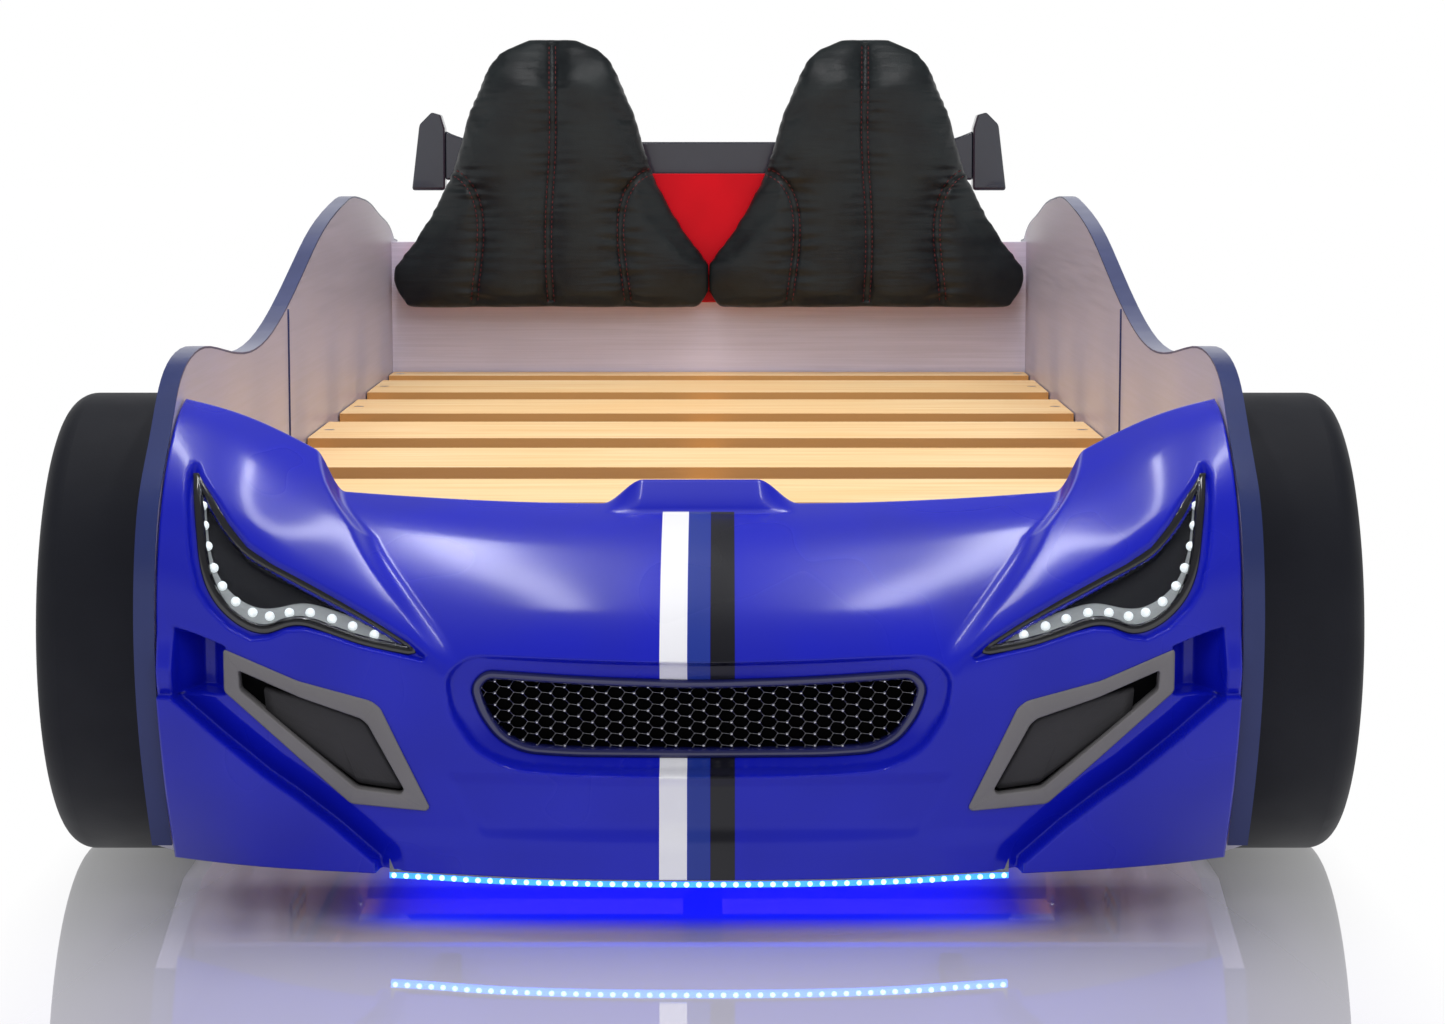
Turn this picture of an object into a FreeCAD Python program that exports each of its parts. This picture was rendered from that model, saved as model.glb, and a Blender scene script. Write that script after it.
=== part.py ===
import FreeCAD, Part
import math
import os

# Car bed for children: two contoured side boards, a moulded front bumper with lamps, four
# decorative wheels, a slatted mattress bay, a pair of bucket-seat cushions and a rear wing.
# Units are millimetres. X is the width, the bumper points along -Y and the headboard stands
# at +Y, +Z is up. The origin is on the floor, at the centre of the bed's bounding box.

V = FreeCAD.Vector

# ---- Driving dimensions ----

# mattress bay
mattress_width = 900.0
mattress_length = 1900.0
mattress_side_gap = 20.0
mattress_end_gap = 5.0
board = 18.0
slat_top = 326.0
headboard_top = 518.0
headboard_bottom = 60.0
rear_overhang = 72.0
nose_reach = 235.0
seam_from_foot = 725.0
edge_band = 2.0
glide_height = 12.0

# slats and what carries them
slat_thickness = 20.0
slat_width = 213.0
slat_pitch = 328.0
end_slat_width = 75.0
slat_end_clearance = 2.0
rail_width = 30.0
rail_height = 40.0
beam_width = 40.0
beam_height = 60.0
leg_width = 40.0
leg_pitch = 560.0

# wheels
tyre_diameter = 438.0
tyre_width = 113.0
rim_diameter = 330.0
tyre_wall = 5.0
outer_shoulder = 22.0
inner_shoulder = 12.0
rim_plate = 8.0
rim_recess = 14.0
hub_diameter = 96.0
spoke_width = 34.0
spoke_depth = 22.0
spoke_count = 5
hub_cap_diameter = 70.0
hub_cap_thickness = 6.0
front_wheel_from_foot = 155.0
rear_wheel_from_head = 355.0
wheel_bolt_circle = 140.0

# bumper
bumper_side_gap = 2.0
bumper_wall = 5.0
blade_step = 20.0
tray_wall = 3.0
lamp_depth = 34.0
lens_wall = 3.0
lens_setback = 3.0
led_depth = 6.0
intake_depth = 22.0
intake_bezel_proud = 3.0
intake_lip = 6.0
slot_depth = 34.0
grille_depth = 52.0
grille_frame_wall = 5.0
grille_frame_depth = 8.0
grille_sheet = 4.0
grille_cell = 12.0
grille_bar = 2.6
tab_depth = 22.0
bracket_thickness = 18.0
glow_channel_width = 14.0
glow_channel_height = 12.0
glow_strip_width = 8.0
glow_strip_height = 5.0
glow_half_span = 268.0

# cushions, headboard trim and wing
seat_spacing = 458.0
seat_bottom = 427.0
seat_board = 18.0
seat_crown = 60.0
seat_edge = 30.0
seat_seam_depth = 7.0
seat_board_inset = 3.0
wing_depth = 34.0
wing_from_head = 58.0
wing_middle_bottom = 611.0
wing_middle_height = 54.0
wing_half_span = 394.0
wing_plate_thickness = 20.0
wing_bracket_width = 50.0
wing_bracket_offset = 210.0
wing_bracket_thickness = 6.0

# light control
box_width = 120.0
box_height = 80.0
box_depth = 34.0
box_wall = 2.5
box_x = -300.0
box_bottom = 225.0
cover_thickness = 3.0
rocker_width = 22.0
rocker_height = 28.0
rocker_depth = 5.0
rocker_proud = 2.0
rocker_tilt = 8.0
rocker_clearance = 1.2
rocker_pin_radius = 1.0
rocker_pin_fit = 0.05
rocker_ear = 2.0
rocker_pin_depth = 6.0
inlet_radius = 5.5
inlet_bore = 2.8
inlet_length = 12.0
cable_radius = 4.0
cable_hole_radius = 7.0
cable_from_side = 50.0
cable_height = 170.0

# fasteners
screw_radius = 3.0
screw_head_radius = 6.5
screw_head_height = 3.0
screw_clearance = 0.25
angle_leg = 36.0
angle_wall = 3.0
angle_height = 130.0
joint_plate_length = 120.0
joint_plate_height = 60.0
junction_width = 56.0
junction_height = 40.0
junction_depth = 25.0

# ---- Derived places ----

inner_half = mattress_width / 2 + mattress_side_gap
outer_half = inner_half + board
bay_length = mattress_length + mattress_end_gap
bed_length = nose_reach + bay_length + board + rear_overhang
nose_y = -bed_length / 2
foot_y = nose_y + nose_reach
head_y = foot_y + bay_length
rear_y = bed_length / 2
bumper_half = inner_half - bumper_side_gap
slat_bottom = slat_top - slat_thickness
rail_bottom = slat_bottom - rail_height
beam_bottom = slat_bottom - beam_height
tyre_radius = tyre_diameter / 2
rim_radius = rim_diameter / 2
nominal_bay = 1905.0
nominal_bumper_half = 468.0
nominal_reach = 235.0
x_scale = bumper_half / nominal_bumper_half
reach_scale = nose_reach / nominal_reach
cable_x = cable_from_side - inner_half

os.makedirs("parts", exist_ok=True)


# ---- Shared helpers ----

def save(name, shape):
    shape.exportStep("parts/" + name + ".step")
    print(name, len(shape.Solids), round(shape.Volume / 1000.0, 1), "cm3", shape.isValid())


def box(x0, x1, y0, y1, z0, z1):
    return Part.makeBox(x1 - x0, y1 - y0, z1 - z0, V(x0, y0, z0))


def rod(start, direction, radius, length):
    return Part.makeCylinder(radius, length, start, direction)


def group(solids):
    return Part.makeCompound(solids)


def mirrored(shape):
    return shape.mirror(V(0, 0, 0), V(1, 0, 0))


def polygon_face(points):
    return Part.Face(Part.makePolygon(points + [points[0]]))


def spline_edge(points):
    curve = Part.BSplineCurve()
    curve.interpolate(points)
    return curve.toShape()


def screw(seat, direction, length):
    """A countersunk-free screw: a flat head on the face at seat, and its shank beyond it."""
    head = rod(seat - direction * screw_head_height, direction, screw_head_radius, screw_head_height)
    shank = rod(seat, direction, screw_radius, length)
    return head.fuse(shank)


def screw_hole(seat, direction, length):
    return rod(seat, direction, screw_radius + screw_clearance, length + 1)


# ---- Side boards ----

def along(from_foot):
    """Y of a contour point: rigid ahead of the footboard, spread over the bay behind it."""
    if from_foot < 0:
        return foot_y + from_foot * reach_scale
    return foot_y + from_foot * bay_length / nominal_bay


# the upper contour of a side board, from the bumper's lower corner over the nose, the front
# hump, the dip and the rear hump to the headboard: distance from the footboard, height
crest = [
    (-110, 56), (-153, 135), (-178, 215), (-180, 273), (-171, 317), (-147, 365), (-85, 415),
    (-25, 460), (60, 483), (125, 485), (228, 476), (415, 460), (560, 465), (725, 490),
    (878, 523), (1050, 560), (1301, 591), (1405, 597), (1483, 594), (1627, 582), (1755, 562),
    (1880, 543), (1945, 522),
]
sweep_start = 55.0


def crest_curve():
    curve = Part.BSplineCurve()
    curve.interpolate([V(0, along(d), z) for d, z in crest])
    return curve


def inset_curve(curve, depth, samples):
    """The curve moved inwards by depth, towards the board's middle."""
    points = []
    first = curve.FirstParameter
    last = curve.LastParameter
    for i in range(samples + 1):
        t = first + (last - first) * i / samples
        p = curve.value(t)
        tangent = curve.tangent(t)[0]
        normal = V(0, tangent.z, -tangent.y)
        points.append(p + normal * depth)
    moved = Part.BSplineCurve()
    moved.interpolate(points)
    return moved


def side_outline(curve, end_z):
    """The board's closed outline below the given upper curve."""
    start = curve.value(curve.FirstParameter)
    end = curve.value(curve.LastParameter)
    corner = V(0, rear_y, end_z)
    lower_rear = V(0, rear_y, glide_height)
    sweep = V(0, along(sweep_start), glide_height)
    edges = [curve.toShape()]
    edges.append(Part.makeLine(end, corner))
    edges.append(Part.makeLine(corner, lower_rear))
    edges.append(Part.makeLine(lower_rear, sweep))
    edges.append(Part.makeLine(sweep, start))
    return Part.Face(Part.Wire(edges))


def side_and_band():
    outer = crest_curve()
    inner = inset_curve(outer, edge_band, 90)
    end_z = outer.value(outer.LastParameter).z - 4
    start_outer = outer.value(outer.FirstParameter)
    start_inner = inner.value(inner.FirstParameter)
    end_outer = outer.value(outer.LastParameter)
    end_inner = inner.value(inner.LastParameter)
    corner_outer = V(0, rear_y, end_z)
    corner_inner = V(0, rear_y, end_z - edge_band)
    rim = [outer.toShape(), Part.makeLine(end_outer, corner_outer)]
    rim.append(Part.makeLine(corner_outer, corner_inner))
    rim.append(Part.makeLine(corner_inner, end_inner))
    rim.append(inner.toShape())
    rim.append(Part.makeLine(start_inner, start_outer))
    band = Part.Face(Part.Wire(Part.__sortEdges__(rim)))
    plate = side_outline(inner, end_z - edge_band)
    move = V(inner_half, 0, 0)
    plate.translate(move)
    band.translate(move)
    width = V(board, 0, 0)
    return plate.extrude(width), band.extrude(width)


# ---- Bumper surface ----

# Each column of the bumper's skin is a run of (distance ahead of the footboard, height), from
# the hood's rear edge over the nose to the lower lip. hood_columns give the low middle surface
# and fender_columns the raised one beside it; they meet along the fender ridge.
hood_columns = [
    (0, [(0, 350), (45, 341), (90, 326), (135, 304), (171, 279), (199, 250),
         (216, 225), (224, 195), (227, 160), (228, 125), (230, 90), (235, 54)]),
    (150, [(0, 351), (45, 341), (88, 326), (131, 303), (166, 277), (193, 249),
           (209, 225), (217, 195), (220, 160), (221, 125), (222, 90), (226, 54)]),
    (300, [(0, 359), (43, 349), (83, 332), (120, 309), (151, 281), (179, 253),
           (195, 226), (201, 195), (203, 160), (201, 125), (197, 90), (189, 54)]),
    (380, [(0, 366), (42, 355), (80, 338), (114, 314), (144, 286), (172, 258),
           (187, 230), (189, 195), (186, 160), (179, 125), (169, 88), (153, 50)]),
    (468, [(0, 378), (40, 366), (76, 348), (108, 324), (138, 296), (164, 268),
           (180, 240), (171, 198), (157, 160), (139, 120), (115, 80), (91, 45)]),
]
fender_columns = [
    (0, [(0, 190), (50, 190), (95, 190), (137, 190), (163, 200), (190, 230),
         (216, 225), (224, 195), (227, 160), (228, 125), (230, 90), (235, 54)]),
    (230, [(0, 334), (50, 322), (94, 306), (137, 288), (167, 272), (194, 252),
           (205, 226), (210, 195), (212, 160), (212, 125), (211, 90), (208, 54)]),
    (300, [(0, 372), (48, 358), (93, 340), (137, 318), (168, 296), (190, 265),
           (198, 230), (202, 195), (203, 160), (201, 125), (197, 90), (189, 54)]),
    (340, [(0, 394), (48, 377), (94, 356), (137, 332), (168, 305), (189, 267),
           (195, 232), (197, 195), (196, 160), (192, 125), (185, 90), (173, 52)]),
    (380, [(0, 416), (49, 400), (95, 378), (137, 350), (165, 318), (184, 275),
           (189, 238), (189, 195), (186, 160), (179, 125), (169, 88), (153, 50)]),
    (420, [(0, 434), (50, 421), (95, 399), (136, 371), (161, 333), (178, 285),
           (182, 242), (180, 198), (173, 160), (161, 122), (145, 84), (125, 47)]),
    (468, [(0, 446), (46, 437), (88, 414), (124, 386), (154, 350), (174, 302),
           (180, 246), (171, 198), (157, 160), (139, 120), (115, 80), (91, 45)]),
]
# half width of the ridge line at each row from the rear edge forwards
ridge_x = [346, 332, 306, 280, 252, 226, 212]
ridge_softness = 14.0
rows = 12


def hermite(keys, values, x):
    """Smooth value at x through the keyed values, with no kink at a key."""
    n = len(keys)
    i = 0
    while i < n - 2 and x > keys[i + 1]:
        i += 1

    def slope(k):
        low = max(k - 1, 0)
        high = min(k + 1, n - 1)
        return (values[high] - values[low]) / (keys[high] - keys[low])

    span = keys[i + 1] - keys[i]
    t = (x - keys[i]) / span
    a = 2 * t ** 3 - 3 * t ** 2 + 1
    b = t ** 3 - 2 * t ** 2 + t
    c = -2 * t ** 3 + 3 * t ** 2
    d = t ** 3 - t ** 2
    start = slope(i) if keys[i] != 0 else 0.0
    return a * values[i] + b * span * start + c * values[i + 1] + d * span * slope(i + 1)


def column_point(columns, x, v):
    keys = [c[0] for c in columns]
    steps = list(range(rows))
    ahead = [hermite(keys, [c[1][k][0] for c in columns], x) for k in steps]
    height = [hermite(keys, [c[1][k][1] for c in columns], x) for k in steps]
    return hermite(steps, ahead, v), hermite(steps, height, v)


def skin_point(x, v):
    """Point of the bumper's outer skin: x in nominal mm from the middle, v in rows."""
    reach = abs(x)
    hood = column_point(hood_columns, reach, v)
    fender = column_point(fender_columns, reach, v)
    crease = hermite(list(range(len(ridge_x))), ridge_x, min(v, len(ridge_x) - 1.0))
    blend = min(max((reach - crease + ridge_softness) / (2 * ridge_softness), 0.0), 1.0)
    blend = blend * blend * (3 - 2 * blend)
    ahead = hood[0] + (fender[0] - hood[0]) * blend
    height = hood[1] + (fender[1] - hood[1]) * blend
    return V(x * x_scale, foot_y - ahead * reach_scale, height)


def skin_face():
    columns = 53
    steps = 2 * (rows - 1)
    grid = []
    for i in range(columns):
        x = -nominal_bumper_half + 2 * nominal_bumper_half * i / (columns - 1)
        grid.append([skin_point(x, k / 2.0) for k in range(steps + 1)])
    surface = Part.BSplineSurface()
    surface.interpolate(grid)
    return surface.toShape()


skin = skin_face()
inward = V(0, 0.8, -0.6)


def layer(start, thickness):
    """The solid between two copies of the skin, start and start + thickness inwards."""
    face = skin.copy()
    face.translate(inward * start)
    return face.extrude(inward * thickness)


def behind(start, reach):
    """Everything straight behind the skin's copy at depth start."""
    face = skin.copy()
    face.translate(inward * start)
    return face.extrude(V(0, reach, 0))


# ---- Outlines on the bumper, seen from the front: (x, z) of the right-hand copy ----

def front_point(x, z):
    return V(x * x_scale, nose_y - 60, z)


def prism(wire_or_face):
    face = wire_or_face
    if face.ShapeType == "Wire":
        face = Part.Face(face)
    return face.extrude(V(0, nose_reach + 120, 0))


def straight_wire(points):
    corners = [front_point(x, z) for x, z in points]
    return Part.makePolygon(corners + [corners[0]])


def grown(points, distance):
    """The outline moved outwards by distance, or inwards where it is negative."""
    return straight_wire(points).makeOffset2D(distance, 2)


lamp_upper = [(441, 393), (424, 369), (408, 345), (389, 327), (357, 309), (322, 291), (288, 273),
              (247, 248)]
lamp_lower = [(247, 243), (290, 253), (324, 263), (345, 267), (360, 264), (378, 259), (396, 268),
              (412, 282), (424, 302), (431, 330), (438, 366)]
lamp_outline = lamp_upper + lamp_lower
led_band = [(436, 378), (428, 342), (423, 318), (414, 298), (398, 283), (380, 276), (362, 278),
            (345, 281), (322, 277), (296, 268), (262, 253), (264, 249), (290, 257), (322, 267),
            (345, 271), (360, 268), (378, 264), (394, 272), (408, 284), (420, 303), (427, 330),
            (434, 364)]
bezel_outline = [(410, 245), (345, 219), (281, 203), (273, 197), (231, 112), (234, 109), (300, 113),
                 (410, 208)]
intake_outline = [(397, 227), (343, 205), (290, 188), (284, 183), (253, 127), (256, 123),
                  (295, 127), (396, 210)]
slot_outline = [(453, 262), (432, 255), (407, 246), (407, 206), (430, 206), (453, 203)]
blade_outline = [(468, 200), (453, 200), (416, 170), (373, 136), (347, 119), (313, 94), (276, 64),
                 (270, 30), (468, 30)]


def grille_wire(half_top, top_mid, top_end, half_low, low_mid, low_end, half_wide, wide_z, y):
    """The grille's hexagonal outline: bowed top and bottom, slanted cheeks."""
    def at(x, z):
        return V(x * x_scale, y, z)

    top = Part.Arc(at(-half_top, top_end), at(0, top_mid), at(half_top, top_end)).toShape()
    low = Part.Arc(at(half_low, low_end), at(0, low_mid), at(-half_low, low_end)).toShape()
    edges = [top]
    edges.append(Part.makeLine(at(half_top, top_end), at(half_wide, wide_z)))
    edges.append(Part.makeLine(at(half_wide, wide_z), at(half_low, low_end)))
    edges.append(low)
    edges.append(Part.makeLine(at(-half_low, low_end), at(-half_wide, wide_z)))
    edges.append(Part.makeLine(at(-half_wide, wide_z), at(-half_top, top_end)))
    return Part.Wire(edges)


def grille_opening(grow, y):
    return grille_wire(178 + grow, 217 + grow, 224 + grow, 126 + grow * 0.5, 154 - grow,
                       160 - grow, 190 + grow, 215, y)


def grille_recess(grow, y):
    return grille_wire(192 + grow, 236 + grow, 240 + grow, 150 + grow * 0.5, 143 - grow,
                       150 - grow, 214 + grow, 222, y)


grille_y = nose_y + grille_depth


# ---- Bumper pieces ----

def grille_funnel(grow):
    front = grille_recess(grow, nose_y - 8)
    back = grille_opening(grow, grille_y)
    return Part.makeLoft([front, back], True, True)


def pocket(points, depth, wall, front):
    """Walls and floor of a recess of the given outline, sunk straight back into the skin."""
    outer = prism(grown(points, wall)).common(behind(front, depth + wall))
    inner = prism(straight_wire(points)).common(behind(front - 4, depth + 4))
    return outer.cut(inner)


def tab_solid():
    outline = [(-86, 346), (-72, 352), (-54, 370), (0, 372), (54, 370), (72, 352), (86, 346)]
    low = [(86, 338), (-86, 338)]
    points = [V(x * x_scale, foot_y - tab_depth, z) for x, z in outline + low]
    return polygon_face(points).extrude(V(0, tab_depth, 0))


def make_bumper_shell():
    shell = layer(0, bumper_wall)
    funnel_in = grille_funnel(0)
    funnel_wall = grille_funnel(tray_wall).cut(funnel_in).common(behind(0, nose_reach))
    holes = [funnel_in]
    additions = [funnel_wall]
    for flip in (False, True):
        lamp = prism(straight_wire(lamp_outline))
        intake = prism(grown(intake_outline, intake_lip))
        slot = prism(straight_wire(slot_outline))
        slot_walls = pocket(slot_outline, slot_depth, tray_wall, 0)
        blade = skin.copy()
        blade.translate(V(0, -blade_step, 0))
        blade = blade.extrude(V(0, blade_step + 2, 0)).common(prism(straight_wire(blade_outline)))
        if flip:
            lamp = mirrored(lamp)
            intake = mirrored(intake)
            slot = mirrored(slot)
            slot_walls = mirrored(slot_walls)
            blade = mirrored(blade)
        holes += [lamp, intake, slot]
        additions += [slot_walls, blade]
    shell = shell.cut(holes)
    for piece in additions + [tab_solid()]:
        shell = shell.fuse(piece)
    bay_side = box(-outer_half, outer_half, foot_y, foot_y + 60, 0, headboard_top)
    return shell.cut(bay_side)


def make_tray(points, grow, front, depth):
    """A thin tray set in the shell's opening: a wall along the outline and a floor."""
    wall = prism(grown(points, grow)).common(layer(front, depth))
    room = prism(grown(points, grow - tray_wall))
    return wall.cut(room.common(layer(front - 5, depth + 5 - tray_wall)))


def make_lens(points):
    return prism(grown(points, -tray_wall)).common(layer(lens_setback, lens_wall))


def make_led_guide():
    depth = lamp_depth - tray_wall - led_depth
    guide = prism(straight_wire(led_band)).common(prism(grown(lamp_outline, -tray_wall)))
    return guide.common(layer(depth, led_depth))


def make_bezel():
    ring = prism(straight_wire(bezel_outline)).cut(prism(straight_wire(intake_outline)))
    return ring.common(layer(-intake_bezel_proud, intake_bezel_proud))


def make_intake_insert():
    return make_tray(intake_outline, intake_lip, 0, intake_depth)


def make_grille_frame():
    outer = Part.Face(grille_opening(0, grille_y - grille_frame_depth))
    inner = Part.Face(grille_opening(-grille_frame_wall, grille_y - grille_frame_depth))
    return outer.cut(inner).extrude(V(0, grille_frame_depth, 0))


def hexagon(x, z, size):
    points = []
    for k in range(6):
        angle = math.pi / 3 * k
        points.append(V(x + size * math.cos(angle), grille_y, z + 0.72 * size * math.sin(angle)))
    return Part.makePolygon(points + [points[0]])


def make_grille_mesh():
    """A flat sheet of flattened hexagonal holes behind the frame."""
    outline = grille_opening(tray_wall, grille_y)
    sheet = Part.Face(outline)
    room = Part.Face(grille_opening(-grille_frame_wall - 1, grille_y))
    size = (grille_cell - grille_bar) / 1.5
    column_step = grille_cell
    row_step = grille_cell * 0.8
    holes = []
    column_count = int(2 * 190 * x_scale / column_step) + 1
    for i in range(-column_count // 2, column_count // 2 + 1):
        for k in range(12):
            x = i * column_step
            z = 146 + k * row_step + (row_step / 2 if i % 2 else 0)
            cell = hexagon(x, z, size)
            corners_in = all(room.isInside(v.Point, 0.01, True) for v in cell.Vertexes)
            if corners_in:
                holes.append(cell)
    net = Part.makeFace([sheet.OuterWire] + holes, "Part::FaceMakerBullseye")
    return net.extrude(V(0, grille_sheet, 0))


# ribs between the footboard and the shell: distance from the middle, lower and upper height
bracket_places = [(150, 252, 288), (230, 66, 102)]


def bumper_bracket(x, z0, z1):
    """A rib from the footboard's front face to the shell's inner face."""
    front = foot_y - board
    rib = box(x - bracket_thickness / 2, x + bracket_thickness / 2, nose_y, front, z0, z1)
    return rib.common(behind(bumper_wall, nose_reach * 2))


def make_footboard(tools):
    slab = box(-inner_half, inner_half, foot_y - board, foot_y, headboard_bottom, headboard_top)
    slab = slab.common(behind(bumper_wall, nose_reach * 2))
    return slab.cut(tools + [tab_solid()])


def lip_band(back0, back1, z0, z1):
    """A strip that follows the lower lip in plan, between two distances behind its edge."""
    def edge_points(back):
        points = []
        for k in range(13):
            x = glow_half_span * (k / 6.0 - 1.0)
            p = skin_point(x, rows - 1)
            points.append(V(p.x, p.y + back, z0))
        return points

    front = edge_points(back0)
    rear = edge_points(back1)
    edges = [spline_edge(front), Part.makeLine(front[-1], rear[-1])]
    edges += [spline_edge(rear), Part.makeLine(rear[0], front[0])]
    face = Part.Face(Part.Wire(Part.__sortEdges__(edges)))
    return face.extrude(V(0, 0, z1 - z0))


# ---- Wheels ----

def spun(wire):
    return Part.Face(wire).revolve(V(0, 0, 0), V(1, 0, 0), 360)


def make_tyre():
    """A moulded tyre shell, open towards the side board."""
    w = tyre_width
    r = tyre_radius
    a = inner_shoulder
    b = outer_shoulder
    diag = math.sqrt(0.5)
    edges = [Part.makeLine(V(0, 0, rim_radius), V(0, 0, r - a))]
    edges.append(Part.Arc(V(0, 0, r - a), V(a - a * diag, 0, r - a + a * diag), V(a, 0, r)).toShape())
    edges.append(Part.makeLine(V(a, 0, r), V(w - b, 0, r)))
    edges.append(Part.Arc(V(w - b, 0, r), V(w - b + b * diag, 0, r - b + b * diag), V(w, 0, r - b)).toShape())
    edges.append(Part.makeLine(V(w, 0, r - b), V(w, 0, rim_radius)))
    edges.append(Part.makeLine(V(w, 0, rim_radius), V(0, 0, rim_radius)))
    solid = spun(Part.Wire(edges))
    floor_r = rim_radius + tyre_wall
    roof_r = r - a - tyre_wall
    shoulder_r = r - b - tyre_wall
    room = [V(-1, 0, floor_r), V(-1, 0, roof_r), V(w - b, 0, roof_r), V(w - tyre_wall, 0, shoulder_r)]
    room.append(V(w - tyre_wall, 0, floor_r))
    return solid.cut(spun(Part.makePolygon(room + [room[0]])))


def make_rim():
    """Barrel, back plate, hub and spokes in one moulding."""
    along_x = V(1, 0, 0)
    depth = tyre_width - rim_recess
    barrel = rod(V(0, 0, 0), along_x, rim_radius, depth)
    bore = rod(V(rim_plate, 0, 0), along_x, rim_radius - 10, depth)
    rim = barrel.cut(bore)
    hub = rod(V(0, 0, 0), along_x, hub_diameter / 2, depth - 4)
    face = depth - 6
    spoke = box(face - spoke_depth, face, -spoke_width / 2, spoke_width / 2, 0, rim_radius - 4)
    pieces = [hub]
    for k in range(spoke_count):
        arm = spoke.copy()
        arm.rotate(V(0, 0, 0), along_x, 360.0 * k / spoke_count)
        pieces.append(arm)
    rim = rim.fuse(pieces)
    return rim.removeSplitter()


def bolt_places():
    places = []
    for k in range(4):
        angle = math.pi / 4 + math.pi / 2 * k
        places.append((wheel_bolt_circle / 2 * math.cos(angle), wheel_bolt_circle / 2 * math.sin(angle)))
    return places


wheel_sites = {
    "front": foot_y + front_wheel_from_foot,
    "rear": head_y - rear_wheel_from_head,
}

wheel_bolts = []
wheel_holes = []
for wheel_y in wheel_sites.values():
    for dy, dz in bolt_places():
        seat = V(outer_half + rim_plate, wheel_y + dy, tyre_radius + dz)
        wheel_bolts.append(screw(seat, V(-1, 0, 0), rim_plate + board - 3))
        wheel_holes.append(screw_hole(seat, V(-1, 0, 0), rim_plate + board - 3))


# ---- Frame fasteners ----

angle_places = [
    (head_y, -1, headboard_bottom + 20),
    (foot_y, 1, headboard_bottom + 20),
]


def make_angle(y, facing, z0):
    """A steel corner angle in the right-hand corner between a side board and an end board."""
    z1 = z0 + angle_height
    on_side = box(inner_half - angle_wall, inner_half, min(y, y + facing * angle_leg),
                  max(y, y + facing * angle_leg), z0, z1)
    on_end = box(inner_half - angle_leg, inner_half, min(y, y + facing * angle_wall),
                 max(y, y + facing * angle_wall), z0, z1)
    return on_side.fuse(on_end).removeSplitter()


angles = []
angle_screws = []
angle_holes = []
for end_y, facing, z0 in angle_places:
    angle = make_angle(end_y, facing, z0)
    for share in (0.25, 0.75):
        z = z0 + angle_height * share
        side_seat = V(inner_half - angle_wall, end_y + facing * angle_leg * 0.62, z)
        end_seat = V(inner_half - angle_leg * 0.62, end_y + facing * angle_wall, z)
        side_way = V(1, 0, 0)
        end_way = V(0, -facing, 0)
        for seat, way in ((side_seat, side_way), (end_seat, end_way)):
            length = angle_wall + board - 4
            angle_screws.append(screw(seat, way, length))
            angle_holes.append(screw_hole(seat, way, length))
    angles.append(angle.cut(angle_holes))

seam_y = along(seam_from_foot)
joint_z = rail_bottom - joint_plate_height - 20
joint_plate = box(inner_half - angle_wall, inner_half, seam_y - joint_plate_length / 2,
                  seam_y + joint_plate_length / 2, joint_z, joint_z + joint_plate_height)
plate_screws = []
plate_holes = []
for dy in (-0.36, -0.14, 0.14, 0.36):
    for dz in (0.25, 0.75):
        seat = V(inner_half - angle_wall, seam_y + dy * joint_plate_length, joint_z + dz * joint_plate_height)
        length = angle_wall + board - 4
        plate_screws.append(screw(seat, V(1, 0, 0), length))
        plate_holes.append(screw_hole(seat, V(1, 0, 0), length))
joint_plate = joint_plate.cut(plate_holes)

rail_screws = []
rail_holes = []
rail_span = bay_length - 60
for k in range(6):
    y = foot_y + 30 + rail_span * (k + 0.5) / 6
    seat = V(inner_half - rail_width, y, (rail_bottom + slat_bottom) / 2)
    length = rail_width + board - 4
    rail_screws.append(screw(seat, V(1, 0, 0), length))
    rail_holes.append(screw_hole(seat, V(1, 0, 0), length))

ribs = []
rib_screws = []
rib_holes = []
for x, z0, z1 in bracket_places:
    ribs.append(bumper_bracket(x, z0, z1))
    seat = V(x, foot_y, (z0 + z1) / 2)
    rib_screws.append(screw(seat, V(0, -1, 0), board + 20))
    rib_holes.append(screw_hole(seat, V(0, -1, 0), board + 20))
rib_holes += [mirrored(h) for h in rib_holes]

lip_z = skin_point(0, rows - 1).z + inward.z * bumper_wall
glow_channel = lip_band(5, 5 + glow_channel_width, lip_z, lip_z + glow_channel_height)
glow_channel = glow_channel.cut(layer(0, bumper_wall))
glow_strip = lip_band(5, 5 + glow_strip_width, lip_z - glow_strip_height, lip_z)

hub_caps = []
for wheel_y in wheel_sites.values():
    start = V(outer_half + tyre_width - rim_recess - 4, wheel_y, tyre_radius)
    hub_caps.append(rod(start, V(1, 0, 0), hub_cap_diameter / 2, hub_cap_thickness))

side_holes = wheel_holes + angle_holes + plate_holes + rail_holes

plate_blank, band_blank = side_and_band()
front_zone = box(inner_half - 5, outer_half + 5, nose_y - 50, seam_y, 0, 800)
rear_zone = box(inner_half - 5, outer_half + 5, seam_y, rear_y + 50, 0, 800)
plate_cut = plate_blank.cut(side_holes)
side_front = plate_cut.common(front_zone)
side_rear = plate_cut.common(rear_zone)
band = group([band_blank.common(front_zone), band_blank.common(rear_zone)])

# ---- Headboard, footboard, slats ----

box_screws = []
box_holes = []
box_y = head_y + board
for dx in (10, box_width - 10):
    for dz in (10, box_height - 10):
        seat = V(box_x + dx, box_y + box_wall, box_bottom + dz)
        box_screws.append(screw(seat, V(0, -1, 0), 12 + box_wall))
        box_holes.append(screw_hole(seat, V(0, -1, 0), 12 + box_wall))

cable_hole = rod(V(cable_x, nose_y, cable_height), V(0, 1, 0), cable_hole_radius, bed_length)
mirrored_angle_holes = [mirrored(h) for h in angle_holes]

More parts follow.
